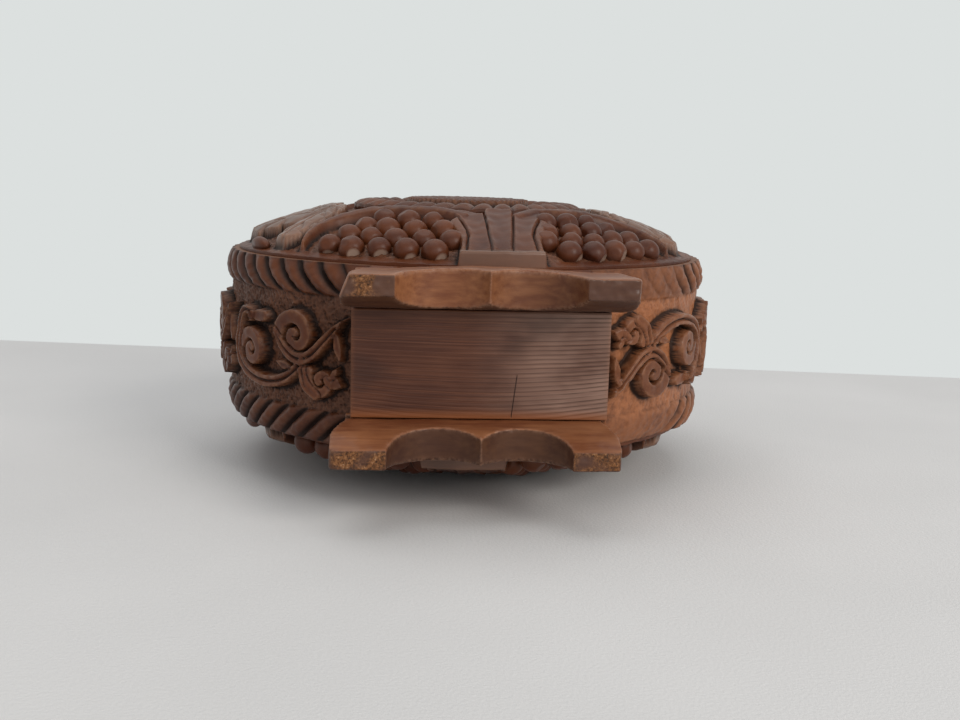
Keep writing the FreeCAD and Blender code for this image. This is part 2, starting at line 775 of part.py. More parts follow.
def make_rail(label, way):
    """One foot rail: a flat bracket with two arches, eased away from the panel towards its tip."""
    body = new_body(label)
    inner = f"{MIDDLE} {way} {RAIL_INNER}"
    outer = f"{MIDDLE} {way} {RAIL_OUTER}"
    low, high = (inner, outer) if way == "+" else (outer, inner)
    rope = "(ground_radius + rope_proud + slide_gap)"
    root_back = f"-min({FLAT}; sqrt({rope} ^ 2 - {RAIL_ROOT} ^ 2))"
    hug = f"min({RAIL_ROOT} - rail_lip; sqrt({rope} ^ 2 - {FLAT} ^ 2))"
    arch_start = f"({RAIL_SPAN} - sole_width - sole_round)"
    arch_radius = (f"(({arch_start} ^ 2 + cusp_setback ^ 2) / 4 + arch_depth ^ 2)"
                   " / (2 * arch_depth)")
    plan = draw_outline(new_sketch(body, f"{label}_plan", "XY_Plane", low), [
        (f"-{hug}", f"-{FLAT}"),
        (f"-{RAIL_ROOT}", root_back),
        (f"-{RAIL_ROOT}", f"-{PANEL_FACE}"),
        (f"-{RAIL_SPAN}", f"-{FOOT_TIP} + rail_flare"),
        (f"-{RAIL_SPAN}", f"-{FOOT_TIP} + sole_round", "sole_round", -1),
        (f"-{RAIL_SPAN} + sole_round", f"-{FOOT_TIP}"),
        (f"-{arch_start}", f"-{FOOT_TIP}", arch_radius, 1),
        ("0", f"-{FOOT_TIP} + cusp_setback", arch_radius, 1),
        (arch_start, f"-{FOOT_TIP}"),
        (f"{RAIL_SPAN} - sole_round", f"-{FOOT_TIP}", "sole_round", -1),
        (RAIL_SPAN, f"-{FOOT_TIP} + sole_round"),
        (RAIL_SPAN, f"-{FOOT_TIP} + rail_flare"),
        (RAIL_ROOT, f"-{PANEL_FACE}"),
        (RAIL_ROOT, root_back),
        (hug, f"-{FLAT}"),
    ])
    pad(body, plan, f"{high} - ({low})")
    easing_side = -1 if way == "+" else 1
    easing_end = f"{outer} - ({way} (rail_drop + rail_tip))"
    easing = draw_outline(new_sketch(body, f"{label}_easing", "YZ_Plane"), [
        (f"-{PANEL_FACE}", inner),
        (f"-{FOOT_TIP} - sole_round", inner),
        (f"-{FOOT_TIP} - sole_round", easing_end),
        (f"-{FOOT_TIP}", easing_end, "easing_radius", easing_side),
    ])
    cut(body, easing, f"4 * {RAIL_SPAN}", both_ways=True)
    slope = draw_outline(new_sketch(body, f"{label}_slope", "YZ_Plane"), [
        (f"-{FLAT}", outer),
        (f"-{FLAT}", f"{outer} {way} rail_drop"),
        (f"-{FOOT_TIP} - sole_round", f"{outer} {way} rail_drop"),
        (f"-{FOOT_TIP} - sole_round", f"{outer} - ({way} rail_drop)"),
        (f"-{FOOT_TIP}", f"{outer} - ({way} rail_drop)"),
    ])
    cut(body, slope, f"4 * {RAIL_SPAN}", both_ways=True)
    groove_back = f"({PANEL_BACK} + (panel_thickness - tongue_thickness) / 2 - slide_gap)"
    groove_low, groove_high = (inner, f"{inner} {way} (tongue_depth + slide_gap)")
    if way == "-":
        groove_low, groove_high = groove_high, groove_low
    groove = draw_box(new_sketch(body, f"{label}_groove", "YZ_Plane"),
                      f"-{groove_back} - tongue_thickness - 2 * slide_gap",
                      f"-{groove_back}", groove_low, groove_high)
    cut(body, groove, f"4 * {RAIL_SPAN}", both_ways=True)
    bores = new_sketch(body, f"{label}_bores", "XZ_Plane", FLAT)
    for side in ("-", ""):
        draw_circle(bores, f"{side}dowel_spacing / 2",
                    f"{MIDDLE} {way} {DOWEL_PLACE}", "dowel_radius + glue_gap / 2")
    cut(body, bores, "dowel_length / 2 + glue_gap", reverse=True)
    return body


def make_rail_dowels():
    pieces = []
    for side in ("-", ""):
        for way in ("-", "+"):
            pieces.append(peg(f"rail_dowel_{len(pieces) + 1}", "dowel_radius", "dowel_length",
                              f"{side}dowel_spacing / 2", f"-{FLAT} + dowel_length / 2",
                              f"{MIDDLE} {way} {DOWEL_PLACE}", 90, Vector(1, 0, 0)))
    return group("rail_dowels", pieces)


def make_cheek(label, side):
    """The filler between the round drum and the flat that one panel end slides on."""
    skin = "(ground_radius + glue_gap)"
    outer = "panel_width / 2"
    inner = f"sqrt({skin} ^ 2 - {FLAT} ^ 2)"
    corners = [
        (f"{side}({inner})", f"-{FLAT}"),
        (f"{side}({outer})", f"-{FLAT}"),
        (f"{side}({outer})", f"-sqrt({skin} ^ 2 - ({outer}) ^ 2)", skin,
         -1 if side == "-" else 1),
    ]
    body = board(label, "XY_Plane", f"{MIDDLE} - {RAIL_INNER} + glue_gap",
                 f"2 * ({RAIL_INNER} - glue_gap)", corners)
    if side == "-":
        cut(body, stop_groove(body, f"{label}_groove"), "stop_proud + slide_gap")
    return body


def make_sole_panel():
    body = new_body("sole_panel")
    back = PANEL_BACK
    face = PANEL_FACE
    tongue_back = f"({back} + (panel_thickness - tongue_thickness) / 2)"
    half = f"({RAIL_INNER} - slide_gap)"
    reach = f"({half} + tongue_depth)"
    section = draw_outline(new_sketch(body, "panel_section", "YZ_Plane"), [
        (f"-{face}", f"{MIDDLE} - {half}"),
        (f"-{tongue_back} - tongue_thickness", f"{MIDDLE} - {half}"),
        (f"-{tongue_back} - tongue_thickness", f"{MIDDLE} - {reach}"),
        (f"-{tongue_back}", f"{MIDDLE} - {reach}"),
        (f"-{tongue_back}", f"{MIDDLE} - {half}"),
        (f"-{back}", f"{MIDDLE} - {half}"),
        (f"-{back}", f"{MIDDLE} + {half}"),
        (f"-{tongue_back}", f"{MIDDLE} + {half}"),
        (f"-{tongue_back}", f"{MIDDLE} + {reach}"),
        (f"-{tongue_back} - tongue_thickness", f"{MIDDLE} + {reach}"),
        (f"-{tongue_back} - tongue_thickness", f"{MIDDLE} + {half}"),
        (f"-{face}", f"{MIDDLE} + {half}"),
    ])
    pad(body, section, "panel_width", both_ways=True)
    seat = draw_circle(new_sketch(body, "stop_seat_bore", "XZ_Plane", back),
                       "stop_inset - panel_width / 2", f"{MIDDLE} - {STOP_DROP}",
                       "stop_radius + glue_gap / 2")
    cut(body, seat, "stop_seat + glue_gap", reverse=True)
    return body


def make_stop_peg():
    piece = peg("panel_stop_peg", "stop_radius", "stop_seat + slide_gap + stop_proud",
                "stop_inset - panel_width / 2", f"-{FLAT} + stop_proud",
                f"{MIDDLE} - {STOP_DROP}", 90, Vector(1, 0, 0))
    piece.Label = "panel_stop_peg"
    return piece


def make_partition():
    ends = f"sqrt({DISC_RADIUS} ^ 2 - {PARTITION} ^ 2)"
    foot = f"({BACK_SEAM} + floor_thickness)"
    return board("partition", "XY_Plane", foot, f"{PARTITION_TOP} - {foot}", [
        (f"-{ends}", f"-{PARTITION}"),
        (ends, f"-{PARTITION}"),
        (ends, f"-{PARTITION} + board_thickness"),
        (f"-{ends}", f"-{PARTITION} + board_thickness"),
    ])


CATCH_FRONT = (f"({PARTITION} + bed_thickness + 2 * slide_gap + bolt_thickness"
               " + slide_gap + catch_front_wall)")
CATCH_BACK = f"({PARTITION} + bed_thickness - slide_gap - catch_back_wall)"


def make_chamber_ceiling():
    """A board over the hidden chamber, with a slot for the lid's catch."""
    chord = f"({PARTITION} + glue_gap)"
    ends = f"sqrt({DISC_RADIUS} ^ 2 - {chord} ^ 2)"
    slot = "(catch_thickness / 2 + lift_gap)"
    slot_end = f"-{CATCH_FRONT} - lift_gap"
    return board("chamber_ceiling", "XY_Plane", CEILING_LOW, "board_thickness", [
        (f"-{ends}", f"-{chord}", DISC_RADIUS, -1),
        ("0", f"-{DISC_RADIUS}", DISC_RADIUS, -1),
        (ends, f"-{chord}"),
        (slot, f"-{chord}"),
        (slot, slot_end),
        (f"-{slot}", slot_end),
        (f"-{slot}", f"-{chord}"),
    ])


# Bolt: its places along X with the bolt drawn back, and its section
BOLT_TIP = "(-catch_thickness / 2 - bolt_clearance)"
STRAP_RIGHT = f"({BOLT_TIP} - bolt_clearance - strap_width - slide_gap)"
KNOB_ROOM = "(bolt_travel + 2 * knob_neck_radius + 2 * slide_gap)"
STRAP_LEFT = f"({STRAP_RIGHT} - {KNOB_ROOM} - strap_width)"
KNOB_PLACE = f"({STRAP_LEFT} + strap_width + slide_gap + knob_neck_radius)"
BOLT_END = f"({STRAP_LEFT} - bolt_travel - bolt_tail)"
BED_FACE = f"({PARTITION} + bed_thickness)"
BOLT_BACK = f"({BED_FACE} + slide_gap)"
BOLT_FACE = f"({BOLT_BACK} + bolt_thickness)"
BOLT_HIGH = f"({CEILING_LOW} - strap_clearance - strap_wall - slide_gap)"
BOLT_MIDDLE = f"({BOLT_HIGH} - bolt_height / 2)"
BOLT_LOW = f"({BOLT_HIGH} - bolt_height)"
STRAP_FACE = f"({BOLT_FACE} + slide_gap + strap_wall)"
STRAP_LOW = f"({BOLT_LOW} - slide_gap - strap_wall)"
STRAP_HIGH = f"({BOLT_HIGH} + slide_gap + strap_wall)"
KEEPER_LEFT = "(catch_thickness / 2 + bolt_clearance)"


def make_bolt_bed():
    return board("bolt_bed", "XZ_Plane", PARTITION, "bed_thickness", [
        (BOLT_END, STRAP_LOW),
        (f"{BOLT_TIP} - bolt_clearance", STRAP_LOW),
        (f"{BOLT_TIP} - bolt_clearance", STRAP_HIGH),
        (BOLT_END, STRAP_HIGH),
    ])


def make_strap(label, left):
    """A bridge on the bed that the bolt slides under."""
    body = new_body(label)
    bridge = draw_outline(new_sketch(body, f"{label}_bridge", "YZ_Plane", left), [
        (f"-{BED_FACE}", STRAP_LOW),
        (f"-{STRAP_FACE}", STRAP_LOW),
        (f"-{STRAP_FACE}", STRAP_HIGH),
        (f"-{BED_FACE}", STRAP_HIGH),
        (f"-{BED_FACE}", f"{BOLT_HIGH} + slide_gap"),
        (f"-{BOLT_FACE} - slide_gap", f"{BOLT_HIGH} + slide_gap"),
        (f"-{BOLT_FACE} - slide_gap", f"{BOLT_LOW} - slide_gap"),
        (f"-{BED_FACE}", f"{BOLT_LOW} - slide_gap"),
    ])
    pad(body, bridge, "strap_width")
    return body


def make_keeper():
    """The block past the catch, with a hole for the bolt's tip."""
    body = new_body("bolt_keeper")
    block = draw_box(new_sketch(body, "keeper_block", "YZ_Plane", KEEPER_LEFT),
                     f"-{STRAP_FACE}", f"-{PARTITION}", STRAP_LOW, STRAP_HIGH)
    pad(body, block, "keeper_width")
    hole = draw_box(new_sketch(body, "keeper_hole", "YZ_Plane", KEEPER_LEFT),
                    f"-{BOLT_FACE} - slide_gap", f"-{BOLT_BACK} + slide_gap",
                    f"{BOLT_LOW} - slide_gap", f"{BOLT_HIGH} + slide_gap")
    cut(body, hole, "keeper_width", reverse=True)
    return body


def make_bolt_bar():
    body = board("bolt_bar", "XZ_Plane", BOLT_BACK, "bolt_thickness", [
        (BOLT_END, BOLT_LOW),
        (BOLT_TIP, BOLT_LOW),
        (BOLT_TIP, BOLT_HIGH),
        (BOLT_END, BOLT_HIGH),
    ])
    seat = draw_circle(new_sketch(body, "knob_seat_bore", "XZ_Plane", BOLT_FACE),
                       KNOB_PLACE, BOLT_MIDDLE, "knob_tenon_radius + glue_gap / 2")
    cut(body, seat, "knob_seat + glue_gap")
    return body


def make_bolt_knob():
    """A small turned knob with a tenon in the bolt, a neck and a round head."""
    body = new_body("bolt_knob")
    swell = "(knob_head_radius - knob_neck_radius)"
    round_radius = f"(knob_head_length ^ 2 / 4 + {swell} ^ 2) / (2 * {swell})"
    head_end = "knob_neck_length + knob_head_length"
    profile = draw_outline(new_sketch(body, "knob_profile", "XY_Plane"), [
        ("0", "-knob_seat"),
        ("knob_tenon_radius", "-knob_seat"),
        ("knob_tenon_radius", "0"),
        ("knob_neck_radius", "0"),
        ("knob_neck_radius", "knob_neck_length", round_radius, -1),
        ("knob_neck_radius", head_end),
        ("0", head_end),
    ])
    feature = body.newObject("PartDesign::Revolution", "knob_turned")
    feature.Profile = (profile, [""])
    feature.ReferenceAxis = (profile, ["V_Axis"])
    body.Placement = FreeCAD.Placement(Vector(), FreeCAD.Rotation(Vector(0, 0, 1), 180))
    bind(body, Placement__Base__x=KNOB_PLACE, Placement__Base__y=f"-{BOLT_FACE}",
         Placement__Base__z=BOLT_MIDDLE)
    return body


def make_lid_catch():
    """A catch from the lid down into the chamber, with an eye for the bolt."""
    eye_low = f"({BOLT_LOW} - lift_gap)"
    body = new_body("lid_catch")
    blade = draw_box(new_sketch(body, "catch_blade", "YZ_Plane"),
                     f"-{CATCH_FRONT}", f"-{CATCH_BACK}", f"{eye_low} - catch_toe", LID_SEAM)
    pad(body, blade, "catch_thickness", both_ways=True)
    eye = draw_box(new_sketch(body, "catch_eye", "YZ_Plane"),
                   f"-{CATCH_FRONT} + catch_front_wall", f"-{CATCH_BACK} - catch_back_wall",
                   eye_low, f"{BOLT_HIGH} + lift_gap")
    cut(body, eye, "2 * catch_thickness", both_ways=True)
    return body


def make_lid_liner():
    body = make_disc("lid_liner", f"{LID_SEAM} - liner_thickness", "liner_thickness",
                     f"{BORE} - lift_gap")
    mortise = draw_box(new_sketch(body, "catch_mortise", "XY_Plane", LID_SEAM),
                       "-catch_thickness / 2 - glue_gap", "catch_thickness / 2 + glue_gap",
                       f"-{CATCH_FRONT} - glue_gap", f"-{CATCH_BACK} + glue_gap")
    cut(body, mortise, "liner_thickness")
    return body


PIECES = [
    make_drum_wall(),
    make_dome("lid_dome", LID_SEAM, "+", LID_TURN),
    make_rosette("lid_rosette", LID_SEAM, "+", "lid_face_radius"),
    make_lid_liner(),
    make_pegs("liner_pegs", f"{LID_SEAM} - liner_thickness", "liner_thickness + peg_depth"),
    make_lid_catch(),
    make_dome("back_dome", BACK_SEAM, "-", BACK_TURN),
    make_rosette("back_rosette", BACK_SEAM, "-", "back_face_radius"),
    make_disc("floor_board", BACK_SEAM, "floor_thickness", DISC_RADIUS),
    make_pegs("floor_pegs", f"{BACK_SEAM} - peg_depth", "floor_thickness + peg_depth"),
    make_rail("foot_rail_upper", "+"),
    make_rail("foot_rail_lower", "-"),
    make_rail_dowels(),
    make_cheek("cheek_left", "-"),
    make_cheek("cheek_right", ""),
    make_sole_panel(),
    make_stop_peg(),
    make_partition(),
    make_chamber_ceiling(),
    make_bolt_bed(),
    make_strap("bolt_strap_left", STRAP_LEFT),
    make_strap("bolt_strap_right", STRAP_RIGHT),
    make_keeper(),
    make_bolt_bar(),
    make_bolt_knob(),
]
doc.recompute()

for thing in doc.Objects:
    if {"Invalid", "Error"} & set(thing.State):
        raise RuntimeError(f"{thing.Label} failed: {thing.State}")
for piece in PIECES:
    if piece.Shape.isNull() or not piece.Shape.isValid():
        raise RuntimeError(f"{piece.Label} has no sound shape")

os.makedirs("parts", exist_ok=True)
for piece in PIECES:
    piece.Shape.exportStep(f"parts/{piece.Label}.step")
    print(piece.Label, len(piece.Shape.Solids), round(piece.Shape.Volume, 1))
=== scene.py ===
"""Looks of a round carved puzzle box: grape vine domes, rope mouldings, a scroll frieze and a bracket foot.

All carving is worked out in millimetres round the drum's axis. Angles are in degrees from
the foot, which points along -Y, and grow towards +X.
"""
import math

import bmesh
import bpy
import numpy as np
from mathutils import Matrix, Vector


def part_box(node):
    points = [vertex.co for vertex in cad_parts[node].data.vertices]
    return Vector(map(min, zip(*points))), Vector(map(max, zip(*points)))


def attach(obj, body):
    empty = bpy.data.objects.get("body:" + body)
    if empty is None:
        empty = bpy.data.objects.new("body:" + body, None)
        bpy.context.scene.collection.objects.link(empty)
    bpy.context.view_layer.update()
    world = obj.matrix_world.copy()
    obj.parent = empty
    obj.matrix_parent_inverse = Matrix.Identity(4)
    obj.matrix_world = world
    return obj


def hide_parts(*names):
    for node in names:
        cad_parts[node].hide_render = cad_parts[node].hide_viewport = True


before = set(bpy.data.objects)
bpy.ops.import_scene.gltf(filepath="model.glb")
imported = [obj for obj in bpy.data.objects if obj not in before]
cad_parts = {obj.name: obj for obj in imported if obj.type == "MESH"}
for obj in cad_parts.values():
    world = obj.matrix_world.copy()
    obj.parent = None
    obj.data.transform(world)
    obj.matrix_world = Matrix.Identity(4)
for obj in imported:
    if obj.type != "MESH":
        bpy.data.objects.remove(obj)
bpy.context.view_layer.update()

MM = 0.001
chance = np.random.default_rng(7)

# Main planes and radii, from the construction
BACK_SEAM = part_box("floor_board")[0].z / MM
LID_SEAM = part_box("lid_liner")[1].z / MM
MIDDLE = (BACK_SEAM + LID_SEAM) / 2
HALF_HEIGHT = (LID_SEAM - BACK_SEAM) / 2
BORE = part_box("floor_board")[1].x / MM + 0.1
DOME_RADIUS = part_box("lid_dome")[1].x / MM
GROUND = DOME_RADIUS + 3
SPIGOT_RADIUS = 12
SPIGOT_LENGTH = 8
BOSS_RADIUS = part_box("lid_rosette")[1].x / MM
DOME_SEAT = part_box("lid_rosette")[0].z / MM + SPIGOT_LENGTH - LID_SEAM
BOSS_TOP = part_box("lid_rosette")[1].z / MM - LID_SEAM
PANEL_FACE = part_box("sole_panel")[0].y / MM
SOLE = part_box("foot_rail_upper")[0].y / MM

# Dry wood has shrunk more one way: the drum is a little wider than it is deep
OVAL = 0.02


# Shapes from numbers

# Half widths of the lines that a knife leaves
KNIFE = 0.75
FINE_KNIFE = 0.55


def smooth(share):
    """An even ease from 0 to 1."""
    share = np.clip(share, 0, 1)
    return share * share * (3 - 2 * share)


def blur(field, times, around):
    """Soften a grid of numbers, a cell at a time; around says that its columns close on themselves."""
    for _ in range(times):
        tall = np.pad(field, ((1, 1), (0, 0)), mode="edge")
        wide = np.pad(field, ((0, 0), (1, 1)), mode="wrap" if around else "edge")
        field = (2 * field + tall[2:] + tall[:-2] + wide[:, 2:] + wide[:, :-2]) / 6
    return field


def wander(points, reach, seed, waves=18):
    """Smooth uneven numbers between about -1 and 1, with features about reach mm long."""
    draw = np.random.default_rng(seed)
    total = np.zeros(points.shape[:-1])
    for _ in range(waves):
        way = draw.normal(size=points.shape[-1])
        way *= draw.uniform(0.6, 1.5) * 2 * math.pi / (reach * np.linalg.norm(way))
        total += np.sin(points @ way + draw.uniform(0, 2 * math.pi))
    return total / math.sqrt(waves)


def punch_marks(across, up, pitch, seed):
    """Depth from 0 to 1 of round punch marks set close together on a ground."""
    draw = np.random.default_rng(seed)
    table = draw.uniform(0.1, 0.9, size=(64, 64, 2))
    column = np.floor(across / pitch).astype(int)
    row = np.floor(up / pitch).astype(int)
    nearest = np.full(across.shape, 9.0)
    for step_across in (-1, 0, 1):
        for step_up in (-1, 0, 1):
            cell = table[(column + step_across) % 64, (row + step_up) % 64]
            gap_across = across / pitch - (column + step_across) - cell[..., 0]
            gap_up = up / pitch - (row + step_up) - cell[..., 1]
            nearest = np.minimum(nearest, np.hypot(gap_across, gap_up))
    return 1 - smooth(nearest / 0.75)


def curve(points, steps=7):
    """Smooth a given line of (across, up, half width) through all its points."""
    knots = np.array(points, float)
    padded = np.vstack([2 * knots[0] - knots[1], knots, 2 * knots[-1] - knots[-2]])
    line = []
    for number in range(len(knots) - 1):
        before, start, end, after = padded[number:number + 4]
        for share in np.arange(steps) / steps:
            line.append(0.5 * (2 * start + (end - before) * share
                               + (2 * before - 5 * start + 4 * end - after) * share ** 2
                               + (3 * start - before - 3 * end + after) * share ** 3))
    line.append(knots[-1])
    line = np.array(line)
    line[:, 2] = np.maximum(line[:, 2], 0.15)
    return line


def volute(centre, first, sweep, radii, widths, steps=40):
    """A scroll line that winds in round a centre, from one radius and half width to another."""
    share = np.linspace(0, 1, steps)
    angle = np.radians(first + sweep * share)
    radius = radii[0] + (radii[1] - radii[0]) * share ** 0.8
    width = widths[0] + (widths[1] - widths[0]) * share
    return np.column_stack([centre[0] + radius * np.cos(angle),
                            centre[1] + radius * np.sin(angle), width])


def nearest_on_line(across, up, line):
    """Distance to a line, the half width there and how far along it that is, from 0 to 1."""
    best = np.full(across.shape, 1e9)
    width = np.zeros(across.shape)
    along = np.zeros(across.shape)
    for number in range(len(line) - 1):
        start, end = line[number], line[number + 1]
        step = end[:2] - start[:2]
        share = ((across - start[0]) * step[0] + (up - start[1]) * step[1]) / max(step @ step, 1e-9)
        share = np.clip(share, 0, 1)
        gap = np.hypot(across - start[0] - share * step[0], up - start[1] - share * step[1])
        closer = gap < best
        best = np.where(closer, gap, best)
        width = np.where(closer, start[2] + share * (end[2] - start[2]), width)
        along = np.where(closer, (number + share) / (len(line) - 1), along)
    return best, width, along


def lay_band(relief, across, up, line, height, bank=0.5, crown=0.12, groove=0.0, veins=0):
    """Raise a band along a line: a crowned top, steep banks, a knife line along it and side veins."""
    margin = line[:, 2].max() + 1.5
    near = ((across > line[:, 0].min() - margin) & (across < line[:, 0].max() + margin)
            & (up > line[:, 1].min() - margin) & (up < line[:, 1].max() + margin))
    if not near.any():
        return
    gap, width, place = nearest_on_line(across[near], up[near], line)
    inside = width - gap
    top = height - crown * (gap / width) ** 2
    top -= groove * np.clip(1 - gap / KNIFE, 0, 1) * smooth(width - 0.8)
    if veins:
        turn = (place * veins - 0.7 * gap / width) % 1
        top -= 0.4 * groove * np.exp(-(np.minimum(turn, 1 - turn) / 0.07) ** 2)
    under = relief[near]
    beside = (inside < 0) & (inside > -0.9)
    under = np.where(beside, under - (1 + inside / 0.9) * smooth(under / 1.5), under)
    relief[near] = np.maximum(under, top * smooth(inside / bank))


def on_drum(radius, angle, height, oval=OVAL):
    """Points at a radius, an angle from the foot and a height."""
    turned = np.radians(angle)
    across = radius * np.sin(turned) * (1 + oval * np.sin(turned) ** 2)
    return np.stack(np.broadcast_arrays(across, -radius * np.cos(turned), height), -1)


# Pieces

def add_mesh(name, points, faces, marks):
    """A smooth-shaded piece from points in millimetres, with named numbers on its points."""
    mesh = bpy.data.meshes.new(name)
    mesh.from_pydata((np.asarray(points) * MM).tolist(), [], faces)
    for label, numbers in marks.items():
        layer = mesh.attributes.new(label, "FLOAT", "POINT")
        layer.data.foreach_set("value", np.asarray(numbers, np.float32).ravel())
    body = bmesh.new()
    body.from_mesh(mesh)
    bmesh.ops.recalc_face_normals(body, faces=body.faces)
    body.to_mesh(mesh)
    body.free()
    mesh.polygons.foreach_set("use_smooth", [True] * len(mesh.polygons))
    piece = bpy.data.objects.new(name, mesh)
    bpy.context.scene.collection.objects.link(piece)
    return piece


def settle(piece, body, slot, finish, *nodes):
    """Give a piece its finish, its body and the nodes that it stands for."""
    piece.data.materials.clear()
    piece.data.materials.append(finish)
    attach(piece, body)
    if nodes:
        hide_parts(*nodes)
    return piece


def grid_faces(rows, columns, wrap_rows, wrap_columns):
    row = np.arange(rows if wrap_rows else rows - 1)[:, None]
    column = np.arange(columns if wrap_columns else columns - 1)[None, :]
    next_row = (row + 1) % rows
    next_column = (column + 1) % columns
    corners = np.stack(np.broadcast_arrays(
        row * columns + column, row * columns + next_column,
        next_row * columns + next_column, next_row * columns + column), -1)
    return corners.reshape(-1, 4).tolist()


def relief_marks(surface, depth, around, passes=10):
    """How far each point of a carved grid lies below and above its surroundings."""
    lift = (surface - blur(surface, passes, around)) / depth
    broad = (surface - blur(surface, 6 * passes, around)) / (3 * depth)
    return np.clip(-lift - 0.6 * broad, 0, 1), np.clip(lift, 0, 1)


def edged(numbers, before, after, value):
    """A grid of numbers with rows of one value put before and after it."""
    columns = numbers.shape[1]
    return np.concatenate([np.full((before, columns), value), numbers, np.full((after, columns), value)])


# Drum wall

WALL_START = 24
WALL_COLUMNS = 640
WALL_ROWS = 152
ROPE_WIDTH = 12
ROPE_LOBES = 62
ROPE_CREST = 2.3
ROPE_GROOVE = 4.0
ROPE_EDGE = 0.1
SCROLL_RADIUS = GROUND + 4.5
PUNCH_PITCH = 1.4
PUNCH_DEPTH = 0.4
RIM_INSET = 1.4
RIM_EDGE = 0.3
# Wear on the right: angle where the worn ropes end, depth lost at the lower edge, angles of the worn ground
# that is also painted paler as if lit from the right
WORN_END = 62
WORN_DEPTH = 2.6
WORN_LIT_START = 18
WORN_LIT_END = 110
FRIEZE_START = 49
FRIEZE_COPIES = 4
FRIEZE_PITCH = (math.pi * SCROLL_RADIUS - FRIEZE_START) / FRIEZE_COPIES

# One repeat of the scroll frieze, from its foot end at 0 towards the left
FRIEZE_BANDS = [
    (volute((-46.6, -2.3), 165, -470, (7.6, 1.0), (2.7, 1.8)), 4.7, 0.0),
    (curve([(-16.5, -2.0, 1.8), (-21, -6.5, 2.2), (-26, -10, 2.4), (-32, -12, 2.5), (-40, -12.6, 2.5),
            (-49, -10.8, 2.4), (-55, -7, 2.3), (-57.2, -1.5, 2.2), (-55.5, 4.5, 2.1), (-54.5, 8.5, 2),
            (-51.5, 12, 2), (-47.5, 11.6, 1.7), (-47.4, 9, 1.3)]), 5.0, 1.7),
    (curve([(-48, 10.5, 1.2), (-43, 10.6, 2.6), (-39.4, 10.8, 2.3)]), 3.8, 0.0),
    (curve([(-24, -6, 0.8), (-28, -5.6, 1.9), (-32.5, -4.2, 0.3)]), 3.6, 0.5),
    (volute((-9.4, -9.2), 150, 430, (6.2, 0.8), (2.4, 1.6)), 4.6, 0.0),
    (curve([(-17.5, -3, 1.6), (-17.6, -7, 1.9), (-15.8, -11.6, 2.1), (-11.5, -14.6, 2)]), 4.8, 1.6),
    (curve([(-6.5, -8.6, 1.6), (-3.4, -9.6, 2.6), (-1.2, -10.2, 1.0)]), 4.0, 0.0),
    (curve([(-5, -7.2, 1.2), (-3.6, -5.4, 1.5), (-3.2, -4.2, 0.5)]), 3.8, 0.0),
    (volute((-21, 5.9), 178, -450, (8.6, 0.9), (3.0, 1.9)), 4.8, 0.0),
    (curve([(-31.6, 7.8, 0.4), (-29, 4.2, 1.6), (-25.5, 0.4, 2.2), (-20, -2.2, 2.4), (-14, -0.6, 2.4),
            (-8.5, 4.4, 2.2), (-3.6, 9.6, 1.6), (0, 13.2, 0.4)]), 5.2, 1.7),
    (curve([(-3.2, 8.6, 0.8), (-2.8, 4, 2.0), (-1.9, 0, 1.2), (-1.4, -2, 0.3)]), 4.0, 0.5),
]


def scroll_frieze(across, up):
    """Height of the running scroll over the wall's ground."""
    relief = np.zeros(across.shape)
    for copy in range(FRIEZE_COPIES):
        shift = FRIEZE_START + copy * FRIEZE_PITCH
        for line, height, groove in FRIEZE_BANDS:
            lay_band(relief, across + shift, up, line, height, groove=groove)
            lay_band(relief, shift - across, -up, line, height, groove=groove)
    return relief


def rope_lobes(angle, share, sway, worn):
    """Height of a rope moulding and the painted shade in its grooves, partly real grime; share runs from
    ground edge to seam.
    """
    phase = angle * ROPE_LOBES / 360 + sway
    place = phase - np.floor(phase)
    lobe = (4 * place * (1 - place)) ** 0.65
    lobe = lobe + (0.75 - lobe) * worn
    swell = np.sin(math.pi * np.clip(share, 0.02, 0.98)) ** 0.5
    height = swell * (ROPE_CREST - ROPE_GROOVE * (1 - lobe)) - 0.5 * smooth(share)
    return height, smooth(1.5 * (1 - lobe)) * (1 - 0.8 * worn)


